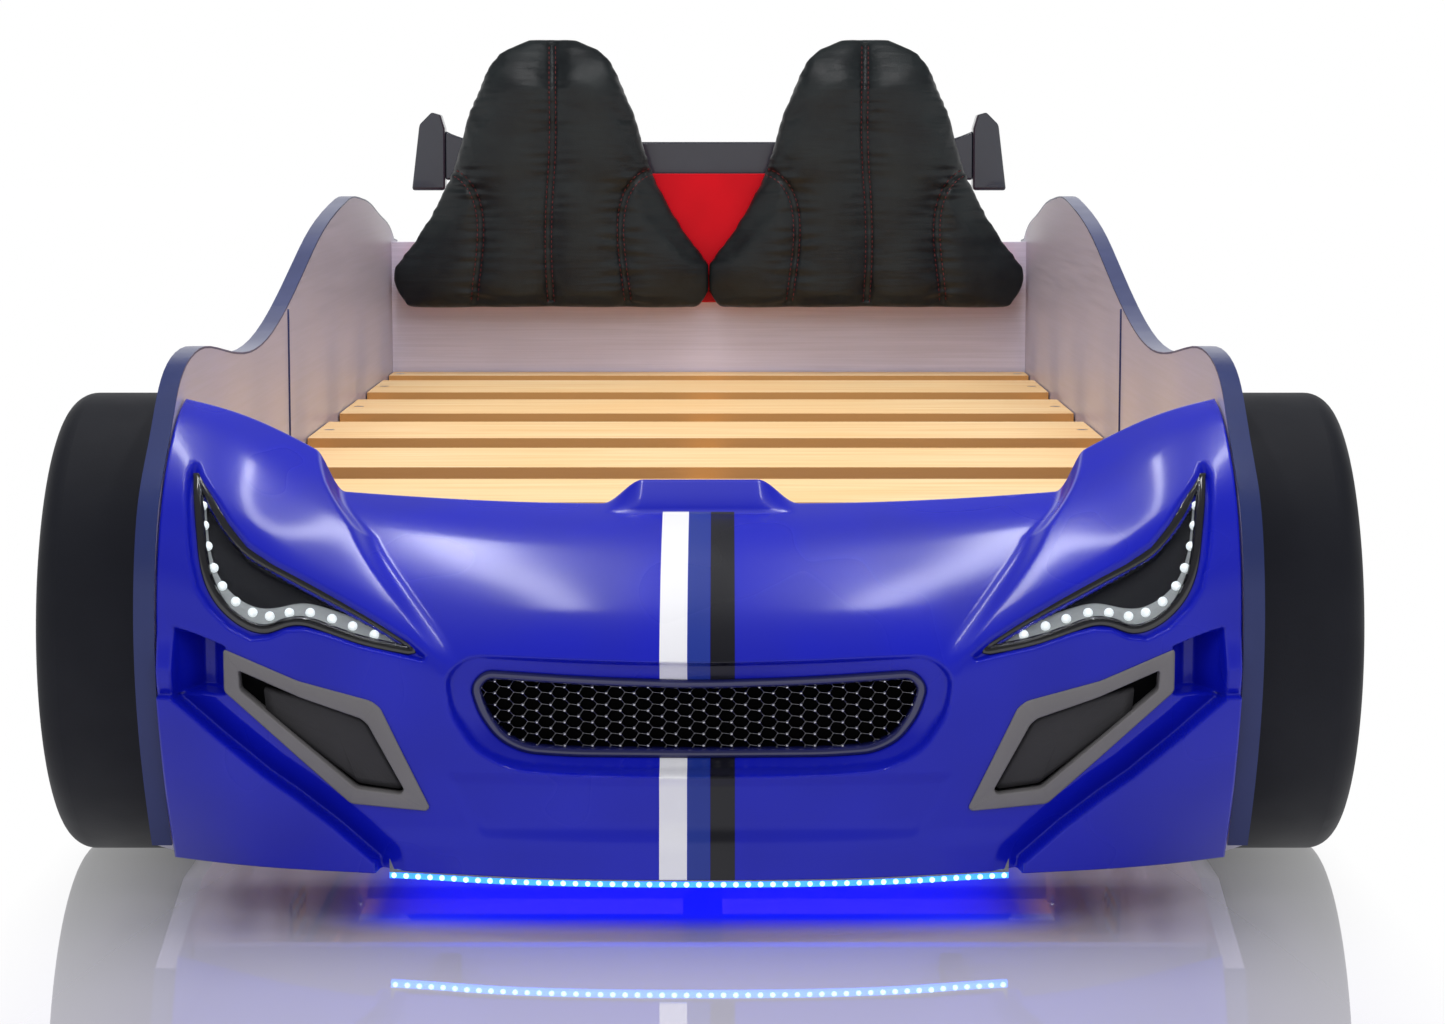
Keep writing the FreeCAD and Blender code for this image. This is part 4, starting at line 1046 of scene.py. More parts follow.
# %% Grille frame: a rounded gloss ring
grille_black = moulded_plastic("grille black", (0.014, 0.014, 0.018), 0.14, 0.004, 0.00002,
                               Coat_Weight=1.0, Specular_IOR_Level=1.0)
grille_navy = moulded_plastic("grille navy", (0.010, 0.012, 0.090), 0.14, 0.004, 0.00002, Coat_Weight=0.6)
RING_PROFILE = [(3.0, 6.0), (2.4, -1.0), (1.2, -3.2), (-1.0, -4.0), (-3.6, -3.6), (-5.4, -1.6),
                (-6.0, 2.0), (-6.0, 9.0)]


def grille_ring():
    rows = []
    for offset, depth in RING_PROFILE:
        line = ring_offset(grille_opening, offset)
        rows.append(to_frame(line[:, 0], np.full(len(line), depth - GRILLE_FACE), line[:, 1]))
    return np.array(rows)


ring_rows = grille_ring()
ring = new_object("grille_ring", ring_rows.reshape(-1, 3), ring_faces(ring_rows.shape[0], ring_rows.shape[1]),
                  grille_navy)
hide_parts("grille_frame")
print("grille ring", ring_rows.shape)

# %% Grille cells, in millimetres
CELL_STEP = 12.0
CELL_SIZE = CELL_STEP / 1.5
CELL_FLAT = 0.74
CELL_RINGS = [(1.0, 5.0), (0.90, 4.2), (0.84, 1.0), (0.80, -6.0)]
CELL_ROW_HEIGHT = CELL_SIZE * math.sqrt(3) * CELL_FLAT
LOWEST_CELL = 146.0
COLUMNS_EACH_SIDE = 17
CELLS_HIGH = 9
NET_MARGIN = 3.0
NET_WAVE = 2.2
NET_FRONT = (foot_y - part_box("grille_mesh")[0][1]) / MM
JOINT_AHEAD = 6.6
JOINT_ROOM = 2.0


def cell_bases():
    """Middles of the cells that fall in the opening."""
    for i in range(-COLUMNS_EACH_SIDE, COLUMNS_EACH_SIDE + 1):
        for k in range(CELLS_HIGH):
            x = i * CELL_STEP
            z = LOWEST_CELL + (k + (0.5 if i % 2 else 0.0)) * CELL_ROW_HEIGHT
            if inside_distance(grille_opening, np.array([x]), np.array([z]))[0] > -NET_MARGIN:
                yield x, z


def cell_corner(cx, cz, c, reach=1.0):
    """Corner c of the cell round (cx, cz), or of a ring that reaches a share of the way to it."""
    a = math.pi / 3 * c
    return cx + CELL_SIZE * reach * math.cos(a), cz + CELL_SIZE * reach * CELL_FLAT * math.sin(a)


def cell_walls():
    """Sloped walls of every cell; each joint of the net stands forward or back in turn."""
    points, faces, floors = [], [], []
    for cx, cz in cell_bases():
        base = len(points)
        for reach, ahead in CELL_RINGS:
            on_ridge = reach > 0.85
            for c in range(6):
                wave = (NET_WAVE if c % 2 else -NET_WAVE) if on_ridge else 0.0
                x, z = cell_corner(cx, cz, c, reach)
                points.append(to_frame(x, -NET_FRONT - ahead - wave, z))
        last = len(CELL_RINGS) - 1
        for r in range(last):
            for c in range(6):
                d = (c + 1) % 6
                low, high = base + r * 6, base + (r + 1) * 6
                faces.append((low + c, low + d, high + d, high + c))
        floors.append(tuple(base + last * 6 + c for c in range(6)))
    return np.array(points), faces, floors


def trim_to_opening(obj, grow):
    """Deletes faces whose middle lies outside the grown opening."""
    bm = bmesh.new()
    bm.from_mesh(obj.data)
    room = ring_offset(grille_opening, grow)
    centers = np.array([f.calc_center_median() for f in bm.faces])
    inside = inside_distance(room, centers[:, 0] / MM, centers[:, 2] / MM) > 0
    bmesh.ops.delete(bm, geom=[f for f, keep in zip(list(bm.faces), inside) if not keep], context="FACES")
    bmesh.ops.remove_doubles(bm, verts=bm.verts, dist=0.0001)
    bm.to_mesh(obj.data)
    bm.free()


cell_points, wall_faces, floor_faces = cell_walls()
net_chrome = moulded_plastic("black chrome", (0.42, 0.42, 0.44), 0.14, 0.004, 0.00002, Metallic=1.0)
cells = new_object("grille_cells", cell_points, wall_faces, net_chrome)
# Painted shade: the cell floors are near-black, standing in for the dark hollow behind the net.
floors = new_object("grille_cell_floors", cell_points, floor_faces, painted_shade_black,
                    smooth=False)
for piece in (cells, floors):
    trim_to_opening(piece, NET_MARGIN)
    drop_loose_points(piece)
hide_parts("grille_mesh")
round_edges(cells, 0.0005, 2, 20)


def net_joints():
    """Places of the net's raised joints, one at every second corner of the cells."""
    places = {}
    for cx, cz in cell_bases():
        for c in (1, 3, 5):
            x, z = cell_corner(cx, cz, c)
            places[(round(x), round(z))] = (x, z)
    spots = np.array(list(places.values()))
    room = inside_distance(grille_opening, spots[:, 0], spots[:, 1]) > JOINT_ROOM
    return [to_frame(x, -NET_FRONT - JOINT_AHEAD, z) for x, z in spots[room]]


joint_chrome = moulded_plastic("joint chrome", (0.85, 0.85, 0.85), 0.12, 0.004, 0.00002, Metallic=1.0)
bead_points, bead_faces = dome_row(net_joints(), 0.0016, 0.0016, rings=3, spokes=8)
new_object("grille_joints", bead_points, bead_faces, joint_chrome)
print("grille faces:", len(cells.data.polygons))

# %% [markdown]
# ## Light strip under the lip
# An aluminium channel follows the lip, and a flexible strip with a row of diodes is pressed into it.
# The diodes could be dots in the strip's material, but small domes in a row catch the light from
# every side, so each one reads as a bright dot. The strip's soft blue glow lights the floor below
# with a small blue lamp, and the floor there is also painted blue as a painted glow.

# %% Underglow diodes
glow_blue = make_light("strip glow", (0.02, 0.16, 1.0), 3.0, (0.05, 0.2, 0.7))
glow_diode = make_light("strip diode", (0.35, 0.75, 1.0), 2.2, (0.9, 0.9, 1.0))
DIODES = 51
ROW_HALF = 264
STRIP_INSET = 4.6
strip_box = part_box("underglow_strip")
strip_middle = (strip_box[0][2] + strip_box[1][2]) / 2 / MM


def lip_place(x):
    """Frame point on the strip's front face at x millimetres from the middle."""
    i = int(round((x + SKIN_HALF) / POINT_GAP))
    return to_frame(x, -AHEAD[i, -1] + STRIP_INSET, strip_middle)


spots = [lip_place(x) for x in np.linspace(-ROW_HALF, ROW_HALF, DIODES)]
spot_points, spot_faces = dome_row(spots, 0.0024, 0.002)
new_object("underglow_diodes", spot_points, spot_faces, glow_diode)
print("underglow diodes:", DIODES)

# %% [markdown]
# ## Seat cushions
# Two bucket-seat shaped cushions lean on the red board: foam under black imitation leather, sewn
# from panels. The foam swells between its seams, so the pad starts from its plain solid, is
# remeshed evenly and blown up a little by a cloth simulation, which pulls the whole cover as evenly
# as real foam does. Sculpting could do it too, but not the same way twice. The seams come after
# that: the cover is drawn in along each one, small folds run into it, and dark red stitches follow
# on both sides.

# %% Leather and thread


def make_leather():
    """Black grained leather: pores, soft creases that come in patches, and a cloudy gloss."""
    material, tree, shader = new_material("seat leather", (0.010, 0.014, 0.016), 0.38,
                                          Specular_IOR_Level=0.36)
    pores = add_node(tree, "ShaderNodeTexVoronoi", {"Scale": 420.0}, feature="DISTANCE_TO_EDGE")
    place = add_node(tree, "ShaderNodeTexCoord")
    tree.links.new(place.outputs["Object"], pores.inputs["Vector"])
    crease = spread(tree, pores.outputs["Distance"], 0.0, 0.12)
    drift = place_group(tree, grain_group, {"Size": 0.05, "Detail": 3.0})
    dark = (0.0045, 0.0062, 0.0078)
    light = (0.0100, 0.0138, 0.0155)
    flat = add_node(tree, "ShaderNodeVectorMath", {1: (22.0, 22.0, 150.0)}, operation="MULTIPLY")
    tree.links.new(place.outputs["Object"], flat.inputs[0])
    wrinkle = add_node(tree, "ShaderNodeTexNoise", {"Scale": 1.0, "Detail": 1.0})
    tree.links.new(flat.outputs[0], wrinkle.inputs["Vector"])
    tree.links.new(mix_colors(tree, drift.outputs["Mask"], dark, light), shader.inputs["Base Color"])
    tree.links.new(vary(tree, drift.outputs["Mask"], 0.31, 0.42), shader.inputs["Roughness"])
    fine = bump(tree, crease, 0.35, 0.0002)
    patches = place_group(tree, grain_group, {"Size": 0.16, "Detail": 1.0})
    folded = combined(tree, "MULTIPLY", wrinkle.outputs["Fac"], patches.outputs["Mask"])
    fine = bump(tree, folded, 0.3, 0.003, fine)
    tree.links.new(bump(tree, drift.outputs["Height"], 0.2, 0.002, fine), shader.inputs["Normal"])
    return material


seat_leather = make_leather()
thread_red = moulded_plastic("red thread", (0.16, 0.012, 0.014), 0.6, 0.0006, 0.0001)

# %% Swell a pad with a short cloth simulation
VOXEL = 0.006
SAME_POINT = 0.00005
SWELL_CAP = 0.009
SWELL_PRESSURE = 4.0
SWELL_FRAMES = 20
COVER_MARGIN = 0.003
LEVELS = 60
LEVEL_INSET = 0.008
LEVEL_REACH = 0.006


def copy_of_node(name):
    """A plain mesh object with the node's shape."""
    source = nodes[name]
    mesh = source.data.copy()
    mesh.materials.clear()
    obj = bpy.data.objects.new(name + "_cover", mesh)
    bpy.context.scene.collection.objects.link(obj)
    return obj


def merge_points(obj, distance):
    bm = bmesh.new()
    bm.from_mesh(obj.data)
    bmesh.ops.remove_doubles(bm, verts=bm.verts, dist=distance)
    bm.to_mesh(obj.data)
    bm.free()


def get_points(mesh):
    out = np.zeros(len(mesh.vertices) * 3)
    mesh.vertices.foreach_get("co", out)
    return out.reshape(-1, 3)


def set_points(mesh, points):
    mesh.vertices.foreach_set("co", points.ravel())
    mesh.update()


def remeshed(obj, voxel):
    merge_points(obj, SAME_POINT)
    mod = obj.modifiers.new("even mesh", "REMESH")
    mod.mode = "VOXEL"
    mod.voxel_size = voxel
    mod.use_smooth_shade = True
    return apply_modifiers(obj)


def swell(obj, pressure, cap):
    """Blows the closed mesh up, no point further than cap from where it was."""
    start = get_points(obj.data)
    mod = obj.modifiers.new("foam", "CLOTH")
    mod.settings.quality = 5
    mod.settings.mass = 0.3
    mod.settings.tension_stiffness = 20
    mod.settings.compression_stiffness = 20
    mod.settings.bending_stiffness = 0.6
    mod.settings.use_pressure = True
    mod.settings.uniform_pressure_force = pressure
    mod.settings.effector_weights.gravity = 0
    mod.point_cache.frame_start = 1
    mod.point_cache.frame_end = SWELL_FRAMES
    for step in range(1, SWELL_FRAMES + 1):
        bpy.context.scene.frame_set(step)
    apply_modifiers(obj)
    bpy.context.scene.frame_set(1)
    moved = get_points(obj.data) - start
    length = np.maximum(np.linalg.norm(moved, axis=1, keepdims=True), 1e-9)
    set_points(obj.data, start + moved * np.minimum(1.0, cap / length))


seat_back_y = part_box("seat_pad_right")[1][1]
seat_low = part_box("seat_pad_right")[0][2]
seat_center_x = (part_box("seat_pad_right")[0][0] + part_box("seat_pad_right")[1][0]) / 2
cover = remeshed(copy_of_node("seat_pad_right"), VOXEL)
pad_points = get_points(cover.data)
swell(cover, SWELL_PRESSURE, SWELL_CAP)
smooth = cover.modifiers.new("rounded", "SUBSURF")
smooth.levels = smooth.render_levels = 1
apply_modifiers(cover)


def rim_reach(points, levels, side):
    """How far the points reach to one side of the pad's middle at each level."""
    reach = (points[:, 0] - seat_center_x) * side
    return np.array([reach[np.abs(points[:, 2] - level) < LEVEL_REACH].max() for level in levels])


def fill_out(obj, goal_points, margin):
    """Stretches the swollen cover back over the pad's full outline, as a cover is pulled over foam."""
    points = get_points(obj.data)
    low, high = points[:, 2].min(), points[:, 2].max()
    goal_low, goal_high = goal_points[:, 2].min() - margin, goal_points[:, 2].max() + margin
    points[:, 2] = goal_low + (points[:, 2] - low) * (goal_high - goal_low) / (high - low)
    levels = np.linspace(goal_low + LEVEL_INSET, goal_high - LEVEL_INSET, LEVELS)
    for side in (-1, 1):
        goal = np.interp(points[:, 2], levels, rim_reach(goal_points, levels, side) + margin)
        now = np.interp(points[:, 2], levels, rim_reach(points, levels, side))
        out = np.clip((points[:, 0] - seat_center_x) * side / now, 0, 1)
        points[:, 0] += side * (goal - now) * out ** 3
    set_points(obj.data, points)


fill_out(cover, pad_points, COVER_MARGIN)
print("cushion points:", len(cover.data.vertices))

# %% Seams, seen from the front: metres from the pad's middle and above its lower edge
middle_seam = [(0.000, 0.002), (0.003, 0.07), (0.002, 0.14), (-0.003, 0.22), (-0.004, 0.30), (-0.002, 0.384)]
side_seam = [(0.150, 0.197), (0.135, 0.191), (0.117, 0.174), (0.106, 0.148), (0.102, 0.115), (0.104, 0.075),
             (0.109, 0.035), (0.113, 0.002)]
MIDDLE_STEPS = 90
SIDE_STEPS = 70
seam_lines = [smooth_run(middle_seam, MIDDLE_STEPS), smooth_run(side_seam, SIDE_STEPS),
              smooth_run([(-x, z) for x, z in side_seam], SIDE_STEPS)]
print("seams on each cushion:", len(seam_lines))


def seam_distance(x, z, line):
    """Every point's distance from a seam line, seen from the front."""
    best = np.full(x.shape, 1e9)
    for (xa, za), (xb, zb) in zip(line[:-1], line[1:]):
        dx, dz = xb - xa, zb - za
        t = np.clip(((x - xa) * dx + (z - za) * dz) / (dx * dx + dz * dz), 0, 1)
        best = np.minimum(best, np.hypot(x - xa - t * dx, z - za - t * dz))
    return best


def fold_noise(points, size, seed):
    """Smooth noise between -1 and 1 at every point, stretched along X."""
    out = np.zeros(len(points))
    for i, p in enumerate(points):
        out[i] = noise.noise(Vector((p[0] / size[0] + seed, p[1] / size[1], p[2] / size[2])))
    return out


# %% Draw the cover in along its seams and lay the folds that run into them, in metres
GROOVE_WIDTH = 0.0045
GROOVE_DIP = 0.0050
WELL_WIDTH = 0.018
WELL_DIP = 0.0035
FOLD_REACH = 0.030
FOLD_HEIGHT = 0.0034
FOLD_SIZE = (0.05, 0.05, 0.009)
FOLDS_TOP = 0.30
FOLDS_FADE = 0.06
MIDDLE_REACH = 0.035
MIDDLE_SHARE = 0.45
WAVE_HEIGHT = 0.0024
WAVE_SIZE = (0.11, 0.11, 0.045)
BACK_GAP = 0.0002
MIDDLE_GAP = 0.0008
LOW_ROOM = 0.005


def normals_of(mesh):
    out = np.zeros(len(mesh.vertices) * 3)
    mesh.vertices.foreach_get("normal", out)
    return out.reshape(-1, 3)


def seam_bell(distance, width):
    """1 on a seam, falling off to both sides."""
    return np.exp(-(distance / width) ** 2)


def sew_cover(obj):
    """Sinks the cover along its seams and lays small folds and long soft waves into it."""
    points = get_points(obj.data)
    normals = normals_of(obj.data)
    x = points[:, 0] - seat_center_x
    z = points[:, 2] - seat_low
    facing = np.clip(-normals[:, 1] * 1.6, 0, 1)
    distance = np.stack([seam_distance(x, z, line) for line in seam_lines])
    draw_in = seam_bell(distance, GROOVE_WIDTH).max(axis=0) * GROOVE_DIP
    wide = seam_bell(distance, WELL_WIDTH).max(axis=0) * WELL_DIP
    side = distance[1:].min(axis=0)
    near = seam_bell(side, FOLD_REACH) * smooth_step(FOLDS_TOP - z, 0.0, FOLDS_FADE)
    middle = seam_bell(distance[0], MIDDLE_REACH) * MIDDLE_SHARE
    folds = fold_noise(points, FOLD_SIZE, 3.0) * FOLD_HEIGHT * np.maximum(near, middle)
    waves = fold_noise(points, WAVE_SIZE, 9.0) * WAVE_HEIGHT
    shift = (-draw_in - wide + folds + waves) * facing
    points += normals * shift[:, None]
    points[:, 1] = np.minimum(points[:, 1], seat_back_y - BACK_GAP)
    points[:, 0] = np.maximum(points[:, 0], MIDDLE_GAP)
    points[:, 2] = np.maximum(points[:, 2], seat_low - LOW_ROOM)
    set_points(obj.data, points)


sew_cover(cover)
cover.data.polygons.foreach_set("use_smooth", [True] * len(cover.data.polygons))
cover.data.materials.append(seat_leather)
cover.name = "cushion_right"


def mirror_object(obj, name):
    """A second object with the mirror image of the mesh."""
    mesh = obj.data.copy()
    points = get_points(mesh)
    points[:, 0] *= -1
    set_points(mesh, points)
    mesh.flip_normals()
    twin = bpy.data.objects.new(name, mesh)
    bpy.context.scene.collection.objects.link(twin)
    return twin


cover_left = mirror_object(cover, "cushion_left")
for cushion, node in ((cover, "seat_pad_right"), (cover_left, "seat_pad_left")):
    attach(cushion, BED)
    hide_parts(node)
print("cushion reaches from", round(get_points(cover.data)[:, 1].min(), 3), "to", round(seat_back_y, 3))

# %% Stitches on both sides of every seam
STITCH_GAP = 0.0072
STITCH_LENGTH = 0.0046
STITCH_RADIUS = 0.0007
STITCH_OFFSET = 0.0048
STITCH_MARGIN = 0.006


def surface_finder(obj):
    """A function that gives the surface point and normal seen from the front at (x, z)."""
    tree = BVHTree.FromPolygons([v.co for v in obj.data.vertices], [p.vertices for p in obj.data.polygons])

    def find(x, z):
        hit = tree.ray_cast(Vector((x, seat_back_y - 0.4, z)), Vector((0, 1, 0)))
        return hit[0], hit[1]
    return find


def place_along(line, steps, reach):
    return np.array([np.interp(reach, steps, line[:, 0]), np.interp(reach, steps, line[:, 1])])


def stitch_run(line, find, offset):
    """Small rounded stitches along one side of a seam."""
    points, faces = [], []
    steps = run_lengths(line)
    for at in np.arange(STITCH_MARGIN, steps[-1] - STITCH_MARGIN, STITCH_GAP):
        ends = []
        for reach in (at - STITCH_LENGTH / 2, at, at + STITCH_LENGTH / 2):
            p = place_along(line, steps, reach)
            q = place_along(line, steps, reach + 0.001)
            way = (q - p) / max(np.linalg.norm(q - p), 1e-9)
            p = p + np.array([way[1], -way[0]]) * offset
            hit, normal = find(p[0] + seat_center_x, p[1] + seat_low)
            if hit is None:
                break
            ends.append(hit + normal * 0.0002)
        if len(ends) < 3:
            continue
        base = len(points)
        way = (ends[2] - ends[0]).normalized()
        side = way.cross(Vector((0, 1, 0))).normalized()
        up = side.cross(way)
        for center, radius in zip(ends, (0.35, 1.0, 0.35)):
            for k in range(6):
                a = math.pi / 3 * k
                points.append(center + (side * math.cos(a) + up * math.sin(a)) * STITCH_RADIUS * radius)
        for ring in (0, 6):
            for k in range(6):
                m = (k + 1) % 6
                faces.append((base + ring + k, base + ring + m, base + ring + 6 + m, base + ring + 6 + k))
        faces.append(tuple(base + k for k in range(5, -1, -1)))
        faces.append(tuple(base + 12 + k for k in range(6)))
    return points, faces


def all_stitches():
    find = surface_finder(cover)
    points, faces = [], []
    for line in seam_lines:
        for offset in (-STITCH_OFFSET, STITCH_OFFSET):
            own_points, own_faces = stitch_run(line, find, offset)
            base = len(points)
            points += [tuple(p) for p in own_points]
            faces += [tuple(base + i for i in f) for f in own_faces]
    return np.array(points), faces


stitch_points, stitch_faces = all_stitches()
pair("cushion_stitches", stitch_points, stitch_faces, thread_red)
print("stitch points:", len(stitch_points))

# %% [markdown]
# ## Boards and timber
# The side boards, headboard and footboard are laminated particle board: a pale lilac-grey print
# inside, with a very fine drawn grain, and blue laminate outside. The slats and frame timber are
# planed pine. Both are procedural, laid out in the bed's own coordinates, because a picture of wood
# would repeat from one slat to the next.

# %% Node group: wood grain along one axis


def make_wood_group():
    """Rings drawn out along X, as a mask for colour, with fine pores as a height."""
    group, start, end = new_group(
        "wood grain", [("Place", VECTOR, None), ("Stretch", FLOAT, 18.0), ("Size", FLOAT, 0.03)],
        [("Mask", FLOAT), ("Height", FLOAT)])
    parts = add_node(group, "ShaderNodeSeparateXYZ")
    shorter = add_node(group, "ShaderNodeMath", operation="DIVIDE")
    joined = add_node(group, "ShaderNodeCombineXYZ")
    frequency = add_node(group, "ShaderNodeMath", {0: 1.0}, operation="DIVIDE")
    rings = add_node(group, "ShaderNodeTexNoise", {"Detail": 3.0, "Distortion": 0.7})
    pores = add_node(group, "ShaderNodeTexNoise", {"Detail": 2.0})
    finer = add_node(group, "ShaderNodeMath", {1: 9.0}, operation="MULTIPLY")
    mask = add_node(group, "ShaderNodeMapRange", {"From Min": 0.36, "From Max": 0.66})
    links = group.links
    links.new(start.outputs["Place"], parts.inputs[0])
    links.new(parts.outputs["X"], shorter.inputs[0])
    links.new(start.outputs["Stretch"], shorter.inputs[1])
    links.new(shorter.outputs[0], joined.inputs["X"])
    links.new(parts.outputs["Y"], joined.inputs["Y"])
    links.new(parts.outputs["Z"], joined.inputs["Z"])
    links.new(start.outputs["Size"], frequency.inputs[1])
    for texture in (rings, pores):
        links.new(joined.outputs[0], texture.inputs["Vector"])
    links.new(frequency.outputs[0], rings.inputs["Scale"])
    links.new(frequency.outputs[0], finer.inputs[0])
    links.new(finer.outputs[0], pores.inputs["Scale"])
    links.new(rings.outputs["Fac"], mask.inputs["Value"])
    links.new(mask.outputs["Result"], end.inputs["Mask"])
    links.new(pores.outputs["Fac"], end.inputs["Height"])
    return group


wood_group = make_wood_group()
print("wood group:", wood_group.name)

# %% Finishes of boards and timber
PINE_ROUGHNESS = 0.5
LAMINATE_ROUGHNESS = 0.34


def swapped_place(tree, order):
    """Object coordinates with their axes in another order, so the grain runs along the first."""
    place = add_node(tree, "ShaderNodeTexCoord")
    parts = xyz_of(tree, place.outputs["Object"])
    joined = add_node(tree, "ShaderNodeCombineXYZ")
    for target, axis in zip("XYZ", order):
        tree.links.new(parts[axis], joined.inputs[target])
    return joined.outputs[0]


def pine(name, order, light, dark):
    """Planed pine; the sides that don't face up are darker, as painted shade."""
    material, tree, shader = new_material(name, light, PINE_ROUGHNESS)
    grain = place_group(tree, wood_group, {"Stretch": 16.0, "Size": 0.018})
    tree.links.new(swapped_place(tree, order), grain.inputs["Place"])
    drift = place_group(tree, grain_group, {"Size": 0.25, "Detail": 1.0})
    base = mix_colors(tree, grain.outputs["Mask"], dark, light)
    warm = tuple(c * f for c, f in zip(light, (1.0, 0.86, 0.70)))
    half = vary(tree, drift.outputs["Mask"], 0.0, 0.5)
    planed = mix_colors(tree, half, base, warm)
    place = add_node(tree, "ShaderNodeTexCoord")
    # Painted shade: faces that don't look up take a darker brown.
    upright = spread(tree, xyz_of(tree, place.outputs["Normal"])["Z"], 0.3, 0.8)
    painted_side_shade = tuple(c * f for c, f in zip(dark, (0.80, 0.62, 0.42)))
    tree.links.new(mix_colors(tree, upright, painted_side_shade, planed), shader.inputs["Base Color"])
    polish = vary(tree, grain.outputs["Mask"], PINE_ROUGHNESS + 0.06, PINE_ROUGHNESS)
    tree.links.new(polish, shader.inputs["Roughness"])
    tree.links.new(bump(tree, grain.outputs["Height"], 0.4, 0.0003), shader.inputs["Normal"])
    return material


def laminate(name, order, color, outside=None):
    """Printed board; where outside is given, faces that look away from the bay take that colour."""
    material, tree, shader = new_material(name, color, LAMINATE_ROUGHNESS)
    grain = place_group(tree, wood_group, {"Stretch": 60.0, "Size": 0.004})
    tree.links.new(swapped_place(tree, order), grain.inputs["Place"])
    deeper = tuple(c * 0.90 for c in color)
    paint = mix_colors(tree, grain.outputs["Mask"], deeper, color)
    if outside:
        place = add_node(tree, "ShaderNodeTexCoord")
        spot = xyz_of(tree, place.outputs["Object"])
        facing = xyz_of(tree, place.outputs["Normal"])
        away = combined(tree, "MULTIPLY", spot["X"], facing["X"])
        paint = mix_colors(tree, spread(tree, away, 0.10, 0.12), paint, outside)
    tree.links.new(paint, shader.inputs["Base Color"])
    satin = vary(tree, grain.outputs["Mask"], LAMINATE_ROUGHNESS, LAMINATE_ROUGHNESS + 0.05)
    tree.links.new(satin, shader.inputs["Roughness"])
    tree.links.new(bump(tree, grain.outputs["Height"], 0.25, 0.0001), shader.inputs["Normal"])
    return material


slat_pine = pine("slat pine", "XYZ", (0.93, 0.68, 0.38), (0.84, 0.54, 0.24))
frame_pine = pine("frame pine", "YXZ", (0.66, 0.44, 0.22), (0.52, 0.31, 0.13))
leg_pine = pine("leg pine", "ZXY", (0.66, 0.44, 0.22), (0.52, 0.31, 0.13))
side_laminate = laminate("side laminate", "YXZ", (0.52, 0.49, 0.62), outside=(0.010, 0.022, 0.30))
end_laminate = laminate("end laminate", "XYZ", (0.74, 0.69, 0.84))
edge_blue = moulded_plastic("blue edging", (0.018, 0.030, 0.13), 0.32, 0.002, 0.00003, Coat_Weight=0.2,
                            Specular_IOR_Level=0.3)
board_red = moulded_plastic("red laminate", (0.66, 0.002, 0.012), 0.40, 0.0015, 0.00003,
                            Specular_IOR_Level=0.2)

# %% [markdown]
# ## Steel, rubber and mouldings
# Screws, angles and plates are zinc plated: metal with a cloudy grain of crystals. The wheels are
# blow-moulded plastic, matte black with a leathery grain, with satin grey rims. The wing is glossy
# anthracite. The solids keep their shape, and most get a small radius on their edges, because a
# perfectly sharp edge catches no light.

# %% Finishes of metal and mouldings


def zinc(name, color, roughness, size):
    material, tree, shader = new_material(name, color, roughness, Metallic=1.0)
    crystals = place_group(tree, grain_group, {"Size": size, "Detail": 2.0})
    deeper = tuple(c * 0.8 for c in color)
    cloud = crystals.outputs["Mask"]
    tree.links.new(mix_colors(tree, cloud, color, deeper), shader.inputs["Base Color"])
    tree.links.new(vary(tree, cloud, roughness, roughness + 0.12), shader.inputs["Roughness"])
    return material


zinc_plate = zinc("zinc plate", (0.60, 0.61, 0.63), 0.30, 0.004)
# The channel's aluminium is darkened well below bare metal as painted shade, for the shadow under the lip.
aluminium = zinc("shade darkened aluminium", (0.22, 0.225, 0.24), 0.32, 0.002)
tyre_black = moulded_plastic("tyre black", (0.009, 0.010, 0.015), 0.55, 0.0022, 0.0002, 0.08,
                             Specular_IOR_Level=0.25)
rim_grey = moulded_plastic("rim grey", (0.30, 0.31, 0.33), 0.30, 0.002, 0.00004, Metallic=0.6)
cap_grey = moulded_plastic("hub cap grey", (0.10, 0.10, 0.11), 0.25, 0.002, 0.00003)
wing_gloss = moulded_plastic("wing anthracite", (0.022, 0.025, 0.040), 0.20, 0.003, 0.00003, Coat_Weight=0.5)
bracket_coat = moulded_plastic("bracket coat", (0.016, 0.016, 0.017), 0.48, 0.0012, 0.0002)
box_black = moulded_plastic("box black", (0.022, 0.022, 0.024), 0.50, 0.0010, 0.0001)
cable_black = moulded_plastic("cable black", (0.015, 0.015, 0.016), 0.42, 0.0015, 0.00008)
nylon_black = moulded_plastic("nylon black", (0.02, 0.02, 0.02), 0.48, 0.0012, 0.00008)
switch_red = moulded_plastic("switch red", (0.55, 0.010, 0.012), 0.25, 0.0012, 0.00003, Coat_Weight=0.3)
print("finishes made:", len(bpy.data.materials))

# %% Put the finishes on the frame's solids


def finish(material, names, radius=0.0):
    """Gives the solids of these nodes a material and, where asked, a small edge radius."""
    for name in names:
        obj = nodes[name]
        obj.data.materials.clear()
        obj.data.materials.append(material)
        if radius:
            weld = obj.modifiers.new("joined points", "WELD")
            weld.merge_threshold = 0.00002
            round_edges(obj, radius)


def both(name):
    return [name + "_right", name + "_left"]


finish(side_laminate, both("side_panel_front") + both("side_panel_rear"), 0.0016)
finish(edge_blue, ["edge_bands"])


